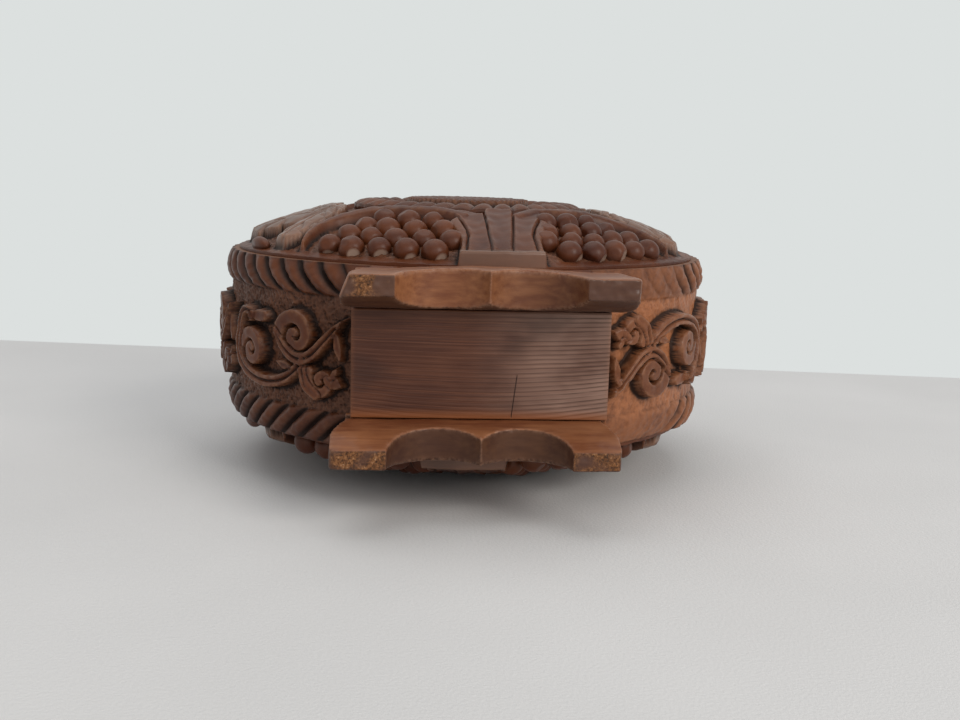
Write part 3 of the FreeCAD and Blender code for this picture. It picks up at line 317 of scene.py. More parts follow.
def carve_wall(name, side):
    """Half of the drum's wall, from the foot's side round to the far side; side is -1 for the left."""
    angle = side * np.linspace(WALL_START, 180, WALL_COLUMNS)
    angle, up = np.meshgrid(angle, np.linspace(-HALF_HEIGHT, HALF_HEIGHT, WALL_ROWS))
    across = np.radians(angle) * SCROLL_RADIUS
    chart = np.stack([across, up], -1)
    relief = scroll_frieze(across, up)
    ground = 1 - smooth(relief / 1.2)
    punched = punch_marks(across, up, PUNCH_PITCH, 3)
    rough = 0.3 * wander(chart, 14, 11) + 0.15 * wander(chart, 4, 12)
    # Right side of the wall: partly real wear that smooths the ground, partly painted light that makes it
    # paler
    faded = smooth((angle - WORN_LIT_START) / 10) * smooth((WORN_LIT_END - angle) / 40)
    radius = GROUND + relief + 0.1 * wander(chart, 6, 13)
    radius += ground * (rough - PUNCH_DEPTH * punched) * (1 - 0.6 * faded)
    edge = HALF_HEIGHT - ROPE_WIDTH
    top_share = (up - edge) / ROPE_WIDTH
    low_share = (-up - edge) / ROPE_WIDTH
    right_wear = smooth((WORN_END - angle) / 14) * smooth(angle / 5)
    near_foot = smooth((34 - np.abs(angle)) / 8)
    top_sway = 1.15 * (1 - (1 - np.clip(top_share, 0, 1)) ** 1.7) + 0.065
    low_sway = 1.45 * np.clip(low_share, 0, 1) - 0.224
    top_rope = rope_lobes(angle, top_share, top_sway, np.maximum(0.8 * right_wear, 0.7 * near_foot))
    low_rope = rope_lobes(angle, low_share, low_sway, np.maximum(right_wear, 0.5 * near_foot))
    # Painted shade, partly real grime: the rope grooves are darkened, and this joins the recess mark
    grime_and_shade = np.zeros(radius.shape)
    for share, (rope, groove) in ((top_share, top_rope), (low_share, low_rope)):
        within = smooth(share / ROPE_EDGE)
        radius = radius * (1 - within) + within * (GROUND + rope + 0.12 * wander(chart, 5, 14))
        grime_and_shade += within * groove
    radius -= right_wear * WORN_DEPTH * np.clip(low_share, 0, 1) ** 1.5
    recess, crest = relief_marks(radius, 1.0, False)
    recess = np.maximum(recess, grime_and_shade)
    faded *= (0.3 + 0.7 * ground) * (1 - 0.5 * smooth(top_share / 0.2) - 0.3 * smooth(low_share / 0.3))
    on_rope = np.maximum(smooth(top_share / ROPE_EDGE), smooth(low_share / ROPE_EDGE))
    stipple = ground * (1 - 0.8 * faded) * (1 - on_rope)
    low_rim = np.minimum(GROUND - RIM_INSET, radius[0] - RIM_EDGE)
    high_rim = np.minimum(GROUND - RIM_INSET, radius[-1] - RIM_EDGE)
    bore = np.full(WALL_COLUMNS, BORE)
    low = np.full(WALL_COLUMNS, BACK_SEAM)
    high = np.full(WALL_COLUMNS, LID_SEAM)
    points = np.concatenate([
        [on_drum(bore, angle[0], low, 0), on_drum(low_rim, angle[0], low)],
        on_drum(radius, angle, MIDDLE + up),
        [on_drum(high_rim, angle[0], high), on_drum(bore, angle[0], high, 0)]])
    faces = grid_faces(len(points), WALL_COLUMNS, True, False)
    for column in (0, WALL_COLUMNS - 1):
        faces.append([row * WALL_COLUMNS + column for row in range(len(points))])
    marks = {"recess": edged(recess, 2, 2, 0.0), "crest": edged(crest, 2, 2, 0.0),
             "stipple": edged(stipple, 2, 2, 0.0), "bare": edged(np.zeros(radius.shape), 2, 2, 1.0),
             "faded": edged(faded, 2, 2, 0.0)}
    return add_mesh(name, points.reshape(-1, 3), faces, marks)


def front_of_wall():
    """The plain front of the drum behind the panel, with its mouth and the stop peg's groove."""
    body = bmesh.new()
    body.from_mesh(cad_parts["drum_wall"].data)
    bmesh.ops.remove_doubles(body, verts=body.verts, dist=0.01 * MM)
    for side in (-1, 1):
        turned = math.radians(WALL_START)
        outward = Vector((side * math.cos(turned), math.sin(turned), 0))
        bmesh.ops.bisect_plane(body, geom=body.verts[:] + body.edges[:] + body.faces[:],
                               plane_co=(0, 0, 0), plane_no=outward, clear_outer=True)
        rim = [edge for edge in body.edges if edge.is_boundary]
        bmesh.ops.holes_fill(body, edges=rim, sides=0)
    mesh = bpy.data.meshes.new("wall_front")
    body.to_mesh(mesh)
    body.free()
    piece = bpy.data.objects.new("wall_front", mesh)
    bpy.context.scene.collection.objects.link(piece)
    return piece


# Domes

DOME_COLUMNS = 1000
DOME_ROWS = 92
DOME_GROUND = [(46, 16), (52, 14.2), (62, 11.2), (72, 8.1), (80, 5.2), (87, 2.3), (91, 1.2)]
PLINTH_HALF = 15.4
PLINTH_BACK = 85.6
PLINTH_HEIGHT = 6.0
PLINTH_EDGE = 0.6
# The calyx leans a little: its middle line is this far off the axis, less so towards the rim
CALYX_SHIFT = 3.3
CALYX_LEAN = 0.132
CALYX_TOP = 52
# Outlines of the calyx at distances along it: middle lobe, side lobe and curled lip
MIDDLE_LOBE = [(47, 4.8), (52, 5.5), (73, 4.4), (83, 3.7)]
SIDE_LOBE = [(50, 19), (57, 15), (67, 12.6), (74, 11.6), (82, 12.2), (87, 12.6)]
CALYX_LIP = [(57, 15), (59.5, 18.6), (62, 18.8), (69, 16.6), (79, 14.8), (87, 15.4)]
SIDE_LOBE_END = [(5, 53), (7.5, 52), (10, 49.5), (14, 47)]
# Stem from the calyx round the boss and out to the rim: angle, distance from the axis, half width
STEM_PATH = [(22, 49.8, 3.0), (34, 49.8, 3.0), (45, 50.8, 3.3), (53, 54, 4.0), (57.5, 60, 4.3),
             (58.5, 66, 3.7), (57.5, 73, 2.9), (55, 80, 2.2), (51.5, 87.5, 1.4)]
# The stem's foot, where it leaves the calyx: across, along and half width
STEM_FOOT = [(10, 54, 3.0), (14, 50.4, 3.0)]
STEM_HEIGHT = 4.2
LEAF_HEIGHT = 5.2
# Leaf blades: angle and distance of foot and tip, half width, teeth
LEAF_BLADES = [((72, 58), (104, 68), 9.5, 3), ((70, 60), (88, 87), 9.5, 4), ((70, 62), (59, 89), 7.5, 4)]
GRAPE_RADIUS = 4.9
GRAPE_GAP = 10.3
GRAPE_SLOPE = 0.335
GRAPE_LIFT = 3.2
GRAPE_TILT = 0.4
GRAPE_CUTS = 4
GRAPE_CUT_DEPTH = 0.9
GRAPE_SHAPE = (1, 1, 1)
LEDGE_RADIUS = 87
# Rows of grapes on one side of the calyx: distance from the axis, first angle, count
GRAPE_ROWS = [(83.0, 16.6, 5), (74.4, 12.9, 5), (65.8, 17.0, 4), (57.2, 21.5, 3)]
FRONT_ROW = 81
RUBBED_REACH = 48
BUD_ANGLE = 71
BUD_SHAPE = (1.75, 0.6, 0.72)
BUD_RADIUS = 87.4
BUD_LIFT = 0.6


def along_table(table, place):
    """Numbers read from a table of pairs, at places along it."""
    first, second = np.array(table).T
    return np.interp(place, first, second)


def polar(angle, radius):
    """Across and along the calyx's axis, for an angle and a distance."""
    return radius * math.sin(math.radians(angle)), radius * math.cos(math.radians(angle))


def leaf_blade(start, end, half_width, teeth):
    """The line of a leaf's blade with toothed edges, from its foot to its tip."""
    share = np.linspace(0, 1, 60)
    swell = np.interp(share, [0, 0.15, 0.5, 0.8, 1], [0.5, 0.85, 1, 0.78, 0.12])
    notch = ((share * teeth) % 1) ** 3
    width = half_width * swell * (1.04 - 0.34 * notch)
    start, end = np.array(polar(*start)), np.array(polar(*end))
    return np.column_stack([start + share[:, None] * (end - start), width])


def vine_relief(across, along):
    """Height over the dome's ground beside the calyx: leaves and stems together, and leaves alone."""
    relief = np.zeros(across.shape)
    for blade in LEAF_BLADES:
        lay_band(relief, across, along, leaf_blade(*blade), LEAF_HEIGHT,
                 bank=0.9, crown=1.8, groove=1.5, veins=2)
    leaves = relief.copy()
    stem = STEM_FOOT + [(*polar(angle, radius), half_width) for angle, radius, half_width in STEM_PATH]
    lay_band(relief, across, along, curve(stem), STEM_HEIGHT, bank=1.6, crown=1.3)
    return relief, leaves


def calyx_relief(side, along):
    """Height over the dome's ground of the calyx, from the distance beside its axis."""
    across = np.abs(side - CALYX_SHIFT + CALYX_LEAN * (along - CALYX_TOP))
    middle = along_table(MIDDLE_LOBE, along)
    outer = along_table(SIDE_LOBE, along)
    lip = np.maximum(along_table(CALYX_LIP, along), outer)
    crown = np.where(across < middle, 3.6 + 1.0 * (across / middle) ** 2, 0)
    flank = 2 * (across - middle) / (outer - middle) - 1
    crown = np.where((across >= middle) & (across < outer), 3.3 + 1.0 * flank ** 2, crown)
    curl = 2 * (across - outer) / np.maximum(lip - outer, 0.3) - 1
    crown = np.where((across >= outer) & (across < lip), 4.2 - 0.9 * curl ** 2, crown)
    for line in (middle, outer):
        crown -= 2.4 * np.clip(1 - np.abs(across - line) / FINE_KNIFE, 0, 1)
    end = np.where(across < middle, 46.6 + 2.4 * (across / middle) ** 4, along_table(SIDE_LOBE_END, across))
    bank = smooth((lip - across) / 0.9) * smooth((along - end) / 1.2)
    return np.maximum(crown, 0) * bank


def carve_dome(name, seam, way, turn):
    """One dome with its ledge, calyx, stems and leaves; way is 1 for the lid and -1 for the back."""
    angle = np.linspace(0, 360, DOME_COLUMNS, endpoint=False)
    angle, radius = np.meshgrid(angle, np.linspace(BOSS_RADIUS, DOME_RADIUS, DOME_ROWS))
    local = np.radians(angle - turn)
    half = np.where(np.cos(local) < 0, -1, 1)
    side = half * radius * np.sin(local)
    along = half * radius * np.cos(local)
    flat = np.stack([radius * np.sin(local), radius * np.cos(local)], -1)
    vine, leaves = vine_relief(np.abs(side), along)
    relief = np.maximum(vine, calyx_relief(side, along))
    ground = 1 - smooth(relief / 1.0)
    ledge = smooth((radius - 86) / 1.5)
    height = along_table(DOME_GROUND, radius) + relief * (1 - ledge)
    dented = 0.3 * wander(flat, 9, 21) - 0.5 * punch_marks(flat[..., 0], flat[..., 1], 1.6, 22)
    height += ground * (1 - 0.7 * ledge) * dented
    height += 0.1 * wander(flat, 7, 23) * (1 - ledge)
    middle = side - CALYX_SHIFT + CALYX_LEAN * (along - CALYX_TOP)
    plinth = smooth((radius - PLINTH_BACK) / PLINTH_EDGE) * (along > 0)
    plinth = plinth * smooth((PLINTH_HALF - np.abs(middle)) / PLINTH_EDGE)
    turned_lines = 0.12 * np.sin(2 * math.pi * radius / 1.5)
    height = height * (1 - plinth) + plinth * (PLINTH_HEIGHT + turned_lines + 0.12 * wander(flat, 9, 24))
    recess, crest = relief_marks(height, 1.4, True)
    # Painted sheen, partly real rubbing: leaf tops are made paler, and the plinth is made paler too
    rubbed = 0.36 * smooth((leaves - 2) / 1.5) * (1 - recess) + 0.3 * plinth
    seat = np.full(DOME_COLUMNS, seam + way * (DOME_SEAT - 0.2))
    spigot = np.full(DOME_COLUMNS, SPIGOT_RADIUS)
    rim = np.full(DOME_COLUMNS, DOME_RADIUS)
    points = np.concatenate([
        [on_drum(spigot, angle[0], seat), on_drum(spigot * 0 + BOSS_RADIUS - 0.6, angle[0], seat)],
        on_drum(radius, angle, seam + way * height),
        [on_drum(rim, angle[0], seam + way * share * height[-1]) for share in (0.85, 0.5, 0.15, 0)],
        [on_drum(spigot, angle[0], np.full(DOME_COLUMNS, seam))]])
    faces = grid_faces(len(points), DOME_COLUMNS, True, True)
    marks = {"recess": edged(recess, 2, 5, 0.0), "crest": edged(crest, 2, 5, 0.0),
             "stipple": edged(ground * (1 - plinth) * (1 - ledge), 2, 5, 0.0),
             "bare": np.zeros(points.shape[:2]),
             "rubbed": edged(np.concatenate([rubbed, np.repeat(rubbed[-1:], 4, axis=0)]), 2, 1, 0.0)}
    return add_mesh(name, points.reshape(-1, 3), faces, marks)


def ball_mesh():
    body = bmesh.new()
    bmesh.ops.create_icosphere(body, subdivisions=4, radius=1)
    points = np.array([vertex.co for vertex in body.verts])
    faces = [[vertex.index for vertex in face.verts] for face in body.faces]
    body.free()
    return points, faces


def knife_cut(form, way, depth):
    """Pare a rounded form flat where it stands further out than depth along a way, and mark the flat."""
    way = way / np.linalg.norm(way)
    over = np.maximum(form @ way - depth, 0)
    return form - over[:, None] * way, smooth(over / 0.1)


def grape_places(turn):
    """Angle, distance from the axis and shape of every grape and bud on a dome."""
    places = []
    for half_turn in (0, 180):
        for side in (-1, 1):
            for radius, first, count in GRAPE_ROWS:
                step = math.degrees(GRAPE_GAP / radius)
                for number in range(count):
                    spread = chance.normal(scale=0.4, size=2)
                    angle = first + number * step + math.degrees(spread[0] / radius)
                    places.append((half_turn + turn + side * angle, radius + spread[1], GRAPE_SHAPE))
        places.append((half_turn + turn - BUD_ANGLE, BUD_RADIUS, BUD_SHAPE))
    return places


def grape_bunches(name, seam, way, turn):
    """Knife-cut grapes and a bud under each leaf, as one piece on a dome."""
    ball, ball_faces = ball_mesh()
    points, faces, recess, rubbed = [], [], [], []
    for angle, radius, shape in grape_places(turn):
        form = ball.copy()
        for _ in range(GRAPE_CUTS):
            form, _ = knife_cut(form, chance.normal(size=3), GRAPE_CUT_DEPTH)
        worn = np.zeros(len(ball))
        if shape == GRAPE_SHAPE:
            form[:, 2] *= np.where(form[:, 2] < 0, 1.35, 1)
        if way > 0 and radius > FRONT_ROW and abs(angle) < RUBBED_REACH:
            facet = np.array([chance.normal(0.7, 0.15), 1, chance.normal(-0.2, 0.1)])
            form, worn = knife_cut(form, facet, chance.uniform(0.78, 0.88))
        form = form * GRAPE_RADIUS * chance.uniform(0.9, 1.03) * np.array(shape)
        turned = np.radians(angle)
        around = np.array([math.cos(turned), math.sin(turned), 0])
        out = np.array([math.sin(turned) * (1 + OVAL * math.sin(turned) ** 2), -math.cos(turned), 0])
        upright = np.array([0, 0, 1]) + GRAPE_TILT * out
        upright /= np.linalg.norm(upright)
        sideways = out - GRAPE_TILT * np.array([0, 0, 1])
        sideways /= np.linalg.norm(sideways)
        ground = along_table(DOME_GROUND, radius)
        lift = BUD_LIFT
        if shape == GRAPE_SHAPE:
            lift = GRAPE_LIFT + (LEDGE_RADIUS - radius) * GRAPE_SLOPE - ground
        spot = out * radius + np.array([0, 0, ground + lift])
        placed = spot + form[:, :1] * around + form[:, 1:2] * sideways + form[:, 2:] * upright
        placed[:, 2] = seam + way * np.maximum(placed[:, 2], 0.4)
        faces += [[corner + len(points) * len(ball) for corner in face] for face in ball_faces]
        points.append(placed)
        # Painted shade: the lower part of each grape is darkened, except on its worn facet
        recess.append(smooth((0.3 - ball[:, 2]) / 1.0) * (1 - worn))
        rubbed.append(worn)
    recess = np.concatenate(recess)
    plain = np.zeros(len(recess))
    marks = {"recess": recess, "crest": plain, "stipple": plain, "bare": plain,
             "rubbed": np.concatenate(rubbed)}
    return add_mesh(name, np.concatenate(points), faces, marks)


# Rosettes

BOSS_COLUMNS = 960
PETALS = 34
PETAL_FOOT = 34
BEADS = 64
LID_BOSS_FACE = 24.5
BACK_BOSS_FACE = 32
LID_BOSS_SUNK = 0.9
BACK_BOSS_SUNK = 0.1


def carve_rosette(name, seam, way, step, sunk):
    """A boss with a ring of petals round a punched, slightly sunk disc, whose edge is milled at a step."""
    angle = np.linspace(0, 360, BOSS_COLUMNS, endpoint=False)
    reach = np.concatenate([np.linspace(0.4, step, 48), np.linspace(step + 0.3, BOSS_RADIUS, 44)])
    angle, radius = np.meshgrid(angle, reach)
    flat = np.stack([radius * np.sin(np.radians(angle)), radius * np.cos(np.radians(angle))], -1)
    petal_place = (angle * PETALS / 360 + 0.04 * (radius - 40)) % 1
    petal = (4 * petal_place * (1 - petal_place)) ** 0.5
    ring_share = np.clip((radius - PETAL_FOOT) / (BOSS_RADIUS - PETAL_FOOT), 0.03, 0.97)
    ring = DOME_SEAT + 2.0 + 2.7 * petal * np.sin(math.pi * ring_share) ** 0.5
    milled = 0.5 + 0.5 * np.cos(np.radians(angle * BEADS))
    punched = punch_marks(flat[..., 0], flat[..., 1], 2.3, 31)
    edge = step - 2.6
    disc = BOSS_TOP - sunk - 0.45 * punched * smooth((edge - radius) / 1.0)
    disc -= smooth((radius - edge) / 2.4) * (0.5 + 0.7 * (1 - milled))
    disc -= 0.5 * np.exp(-((radius - edge) / 0.5) ** 2)
    height = np.where(radius <= step, disc, ring) + 0.05 * wander(flat, 6, 33)
    height = np.minimum(height, BOSS_TOP)
    recess, crest = relief_marks(height, 1.1, True)
    under = [(BOSS_RADIUS, DOME_SEAT), (SPIGOT_RADIUS, DOME_SEAT),
             (SPIGOT_RADIUS, DOME_SEAT - SPIGOT_LENGTH), (0.4, DOME_SEAT - SPIGOT_LENGTH)]
    points = np.concatenate([
        on_drum(radius, angle, seam + way * height),
        [on_drum(r, angle[0], np.full(BOSS_COLUMNS, seam + way * h)) for r, h in under]])
    faces = grid_faces(len(points), BOSS_COLUMNS, False, True)
    faces.append(list(range(BOSS_COLUMNS)))
    faces.append(list(range((len(points) - 1) * BOSS_COLUMNS, len(points) * BOSS_COLUMNS)))
    marks = {"recess": edged(recess, 0, len(under), 0.0), "crest": edged(crest, 0, len(under), 0.0),
             "stipple": edged(0.5 * punched, 0, len(under), 0.0), "bare": np.zeros(points.shape[:2])}
    return add_mesh(name, points.reshape(-1, 3), faces, marks)


# Foot

RAIL_GRID = 0.5
RAIL_ROOT = -93
RAIL_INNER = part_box("foot_rail_upper")[0].z / MM - MIDDLE
RAIL_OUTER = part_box("foot_rail_upper")[1].z / MM - MIDDLE
RAIL_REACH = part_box("foot_rail_upper")[1].x / MM
SOLE_INNER = 25
PANEL_GRID = 0.4
# Places across a rail between which its painted shade on upright faces changes
FACE_SHADE_PLACES = (-15, 30)
RING_WIDTH = 1.6
RING_SAG = 0.0019
RING_SPREAD = 37
CRACK_PLACE = 12.64
CRACK_LEAN = 0.109


def fine_copy(node, name, grid, passes):
    """An even-meshed copy of a plain board, with its arrises eased."""
    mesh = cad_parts[node].data.copy()
    mesh.name = name
    piece = bpy.data.objects.new(name, mesh)
    bpy.context.scene.collection.objects.link(piece)
    body = bmesh.new()
    body.from_mesh(mesh)
    bmesh.ops.remove_doubles(body, verts=body.verts, dist=0.005 * MM)
    body.to_mesh(mesh)
    body.free()
    remesh = piece.modifiers.new("even", "REMESH")
    remesh.mode = "VOXEL"
    remesh.voxel_size = grid * MM
    remesh.adaptivity = 0
    ease = piece.modifiers.new("ease", "SMOOTH")
    ease.factor = 0.5
    ease.iterations = passes
    shaped = bpy.data.meshes.new_from_object(piece.evaluated_get(bpy.context.evaluated_depsgraph_get()))
    piece.modifiers.clear()
    piece.data = shaped
    shaped.polygons.foreach_set("use_smooth", [True] * len(shaped.polygons))
    return piece


def mesh_points(piece):
    flat = np.empty(len(piece.data.vertices) * 3)
    piece.data.vertices.foreach_get("co", flat)
    return flat.reshape(-1, 3) / MM


def mesh_normals(piece):
    flat = np.empty(len(piece.data.vertices) * 3)
    piece.data.vertex_normals.foreach_get("vector", flat)
    return flat.reshape(-1, 3)


def set_points(piece, points):
    piece.data.vertices.foreach_set("co", (points * MM).ravel())
    piece.data.update()


def mark(piece, **marks):
    for label, numbers in marks.items():
        layer = piece.data.attributes.new(label, "FLOAT", "POINT")
        layer.data.foreach_set("value", np.asarray(numbers, np.float32))


def ridges(piece, passes=6):
    """How sharply each point stands out from its neighbours, smoothed over the mesh."""
    points = mesh_points(piece)
    edges = np.empty(len(piece.data.edges) * 2, int)
    piece.data.edges.foreach_get("vertices", edges)
    first, second = edges.reshape(-1, 2).T
    count = np.bincount(np.concatenate([first, second]), minlength=len(points))

    def neighbours(numbers):
        total = np.zeros_like(numbers)
        np.add.at(total, first, numbers[second])
        np.add.at(total, second, numbers[first])
        return total / count.reshape((-1,) + (1,) * (numbers.ndim - 1))

    soft = points
    for _ in range(passes):
        soft = neighbours(soft)
    lift = np.einsum("ij,ij->i", points - soft, mesh_normals(piece))
    return neighbours(lift)


def work_rail(name, node, way, stretch, shift, bow, crown, lean, raw_end, face_shade):
    """A foot rail with a crowned outer face, worn arrises, painted shade on its undersides and upright
    faces, and worn soles; way is 1 for the upper one.
    """
    piece = fine_copy(node, name, RAIL_GRID, 4)
    points = mesh_points(piece)
    height = way * (points[:, 2] - MIDDLE)
    out = np.clip((height - RAIL_INNER) / (RAIL_OUTER - RAIL_INNER), 0, 1)
    clear = smooth((RAIL_ROOT - points[:, 1]) / 4)
    middle = np.maximum(1 - (points[:, 0] / 32) ** 2, 0)
    points[:, 2] += way * clear * crown * (0.8 + 1.3 * middle) * out ** 2
    tilt = np.clip((height - SOLE_INNER) / (RAIL_OUTER - SOLE_INNER), 0, 1)
    points[:, 0] += clear * lean * tilt * smooth((-points[:, 0] - 36) / 8)
    points[:, 0] = stretch * points[:, 0] + shift + bow * (1 - (points[:, 0] / RAIL_REACH) ** 2)
    set_points(piece, points)
    lift = ridges(piece)
    facing = mesh_normals(piece)
    sole = smooth((SOLE + 1.4 - points[:, 1]) / 1.0) * smooth((-facing[:, 1] - 0.6) / 0.25)
    raw = sole * smooth((raw_end - points[:, 0] + 1.5 * wander(points, 5, 45)) / 2)
    raw *= smooth(0.7 + 0.5 * wander(points, 9, 47))
    work = 0.1 * wander(points, 16, 41) + 0.03 * wander(points, 4, 42)
    chips = np.maximum(wander(points, 3.2, 43) - 1.0, 0) * smooth(lift / 0.25)
    rough = raw * (0.2 * wander(points, 1.5, 44) - 0.15) + (sole - raw) * 0.15 * wander(points, 4, 46)
    set_points(piece, points + (work + rough - 0.6 * chips)[:, None] * facing)
    # Painted shade: undersides near the drum and upright faces are darkened, the upper rail more towards the
    # right and the lower one all along
    grime_and_shade = 0.6 * smooth((-facing[:, 2] - 0.12) / 0.3) * smooth((RAIL_ROOT - points[:, 1]) / 4)
    upright = smooth((0.4 - np.abs(facing[:, 2])) / 0.2)
    grime_and_shade += np.interp(points[:, 0], FACE_SHADE_PLACES, face_shade) * (1 - sole) * upright
    recess = np.maximum(np.clip(-lift / 0.3, 0, 1), grime_and_shade)
    mark(piece, crest=np.clip(lift / 0.35, 0, 1), recess=recess, sole=sole, raw=raw)
    return piece


def growth_rings(across, up):
    """Distance over the panel's face, measured square to its sagging growth rings."""
    return up - RING_SAG * (0.5 - up / RING_SPREAD) * across ** 2


def work_panel():
    """The sole panel, with its weathered growth rings standing a little proud."""
    piece = fine_copy("sole_panel", "worn_panel", PANEL_GRID, 2)
    points = mesh_points(piece)
    facing = mesh_normals(piece)
    lift = ridges(piece)
    front = smooth((-facing[:, 1] - 0.6) / 0.3) * (points[:, 1] < PANEL_FACE + 1)
    ring = growth_rings(points[:, 0], points[:, 2] - MIDDLE) + 0.35 * wander(points, 30, 51)
    wave = np.sin(2 * math.pi * ring / RING_WIDTH)
    set_points(piece, points + (front * (0.015 * wave + 0.1 * wander(points, 24, 52)))[:, None] * facing)
    mark(piece, crest=np.clip(lift / 0.35, 0, 1), recess=np.clip(-lift / 0.3, 0, 1))
    return piece


# Finishes

class Wire:
    """A socket of a finish: sums, products and powers of wires add Math nodes."""

    def __init__(self, tree, socket=None):
        self.tree = tree
        self.socket = socket

    def node(self, kind, settings=None, sockets=None, output=0):
        """Add a node with its settings, then its values and links, and give one of its outputs."""
        made = self.tree.nodes.new(kind)
        for key, value in (settings or {}).items():
            if key == "stops":
                set_stops(made.color_ramp, value)
            else:
                setattr(made, key, value)
        for key, value in (sockets or {}).items():
            if isinstance(value, Wire):
                self.tree.links.new(value.socket, made.inputs[key])
            else:
                made.inputs[key].default_value = value
        return Wire(self.tree, made.outputs[output] if made.outputs else None)

    def maths(self, operation, *values):
        return self.node("ShaderNodeMath", {"operation": operation}, dict(enumerate(values)))

    def __add__(self, other):
        return self.maths("ADD", self, other)

    def __sub__(self, other):
        return self.maths("SUBTRACT", self, other)

    def __rsub__(self, other):
        return self.maths("SUBTRACT", other, self)

    def __mul__(self, other):
        return self.maths("MULTIPLY", self, other)

    def __truediv__(self, other):
        return self.maths("DIVIDE", self, other)

    def __pow__(self, other):
        return self.maths("POWER", self, other)

    __radd__ = __add__
    __rmul__ = __mul__

    def beside(self, label):
        """Another output of the same node."""
        return Wire(self.tree, self.socket.node.outputs[label])

    def sine(self):
        return self.maths("SINE", self)

    def size(self):
        """Without its sign."""
        return self.maths("ABSOLUTE", self)

    def held(self):
        """Kept between 0 and 1."""
        return self.node("ShaderNodeClamp", None, {"Value": self})

    def eased(self, low, high):
        """An even ease from 0 at low to 1 at high."""
        return self.node("ShaderNodeMapRange", {"interpolation_type": "SMOOTHSTEP"},
                         {"Value": self, "From Min": low, "From Max": high})


def set_stops(ramp, stops):
    while len(ramp.elements) < len(stops):
        ramp.elements.new(1)
    for element, (place, colour) in zip(ramp.elements, stops):
        element.position = place
        element.color = colour


def tone(code):
    """A linear colour from its six-figure code."""
    parts = [int(code[i:i + 2], 16) / 255 for i in (0, 2, 4)]
    return (*[p / 12.92 if p < 0.04045 else ((p + 0.055) / 1.055) ** 2.4 for p in parts], 1)


def blend(share, first, second, kind="MIX"):
    """One colour over another, by a share."""
    return share.node("ShaderNodeMix", {"data_type": "RGBA", "blend_type": kind},
                      {0: share, 6: first, 7: second}, 2)


def start_finish(name):
    material = bpy.data.materials.new(name)
    material.use_nodes = True
    material.node_tree.nodes.clear()
    return material, Wire(material.node_tree)


def mark_wire(start, label):
    return start.node("ShaderNodeAttribute", {"attribute_name": label}, None, "Fac")


def noise(start, place, scale, detail=3.0, roughness=0.55):
    return start.node("ShaderNodeTexNoise", None,
                      {"Vector": place, "Scale": scale, "Detail": detail, "Roughness": roughness})


def stretched(place, stretch, shift=(0, 0, 0)):
    return place.node("ShaderNodeMapping", None,
                      {"Vector": place, "Scale": stretch, "Location": shift})


def finish_wood(start, colour, roughness, bump, depth, coat):
    """Close a finish: a bumped wood surface under a thin wax coat."""
    normal = start.node("ShaderNodeBump", None, {"Strength": 1.0, "Distance": depth * MM, "Height": bump})
    surface = start.node("ShaderNodeBsdfPrincipled", None,
                         {"Base Color": colour, "Roughness": roughness, "Normal": normal,
                          "Coat Weight": coat, "Coat Roughness": 0.25, "Specular IOR Level": 0.24})
    start.node("ShaderNodeOutputMaterial", None, {"Surface": surface})


def carved_wood():
    material, start = start_finish("carved_wood")
    place = start.node("ShaderNodeTexCoord", None, None, "Object")
    recess = mark_wire(start, "recess")
    crest = mark_wire(start, "crest")
    stipple = mark_wire(start, "stipple")
    bare = mark_wire(start, "bare")
    faded = mark_wire(start, "faded")
    rubbed = mark_wire(start, "rubbed")
    broad = noise(start, place, 38, 3)
    fine = noise(start, place, 420, 4, 0.65)
    streak = noise(start, stretched(place, (0.18, 1, 1)), 520, 3)
    dots = start.node("ShaderNodeTexVoronoi", None, {"Vector": place, "Scale": 620.0}, "Distance")
    pits = stipple * (1 - dots.eased(0.12, 0.42))
    shade = (broad * 0.75 + streak * 0.25).eased(0.3, 0.72)
    colour = blend(shade, tone("421c0d"), tone("66361b"))
    colour = blend(stipple * 0.5, colour, tone("66432f"))
    # Painted light, partly real wear: the ground on the right is made paler and more orange
    colour = blend(faded * (broad * 0.6 + fine * 0.6).eased(0.25, 0.75) * 0.9, colour, tone("b2734c"))
    # Painted shade, partly real grime: hollows, rope grooves and grape undersides are darkened towards near
    # black
    colour = blend((recess * 1.35).held() * 0.93, colour, tone("170a06"))
    colour = blend(pits * 0.5, colour, tone("2a140c"))
    colour = blend((crest * fine.eased(0.3, 0.7) * 0.5).held(), colour, tone("976a4c"))
    colour = blend(bare, colour, tone("6f4830"))
    # Painted sheen, partly real wear: leaf tops, the plinth and worn grape facets are turned pale grey
    colour = blend(rubbed * (0.45 + broad * 0.5), colour, tone("b39c8c"))
    roughness = 0.36 + recess * 0.35 + stipple * 0.1 + fine * 0.12
    roughness = (roughness - crest * 0.1 + bare * 0.2 - rubbed * 0.2).held()
    bump = fine * (1 - rubbed) * 0.25 + streak * 0.05 - pits * 0.9
    finish_wood(start, colour, roughness, bump, 0.4, 0.06)
    return material


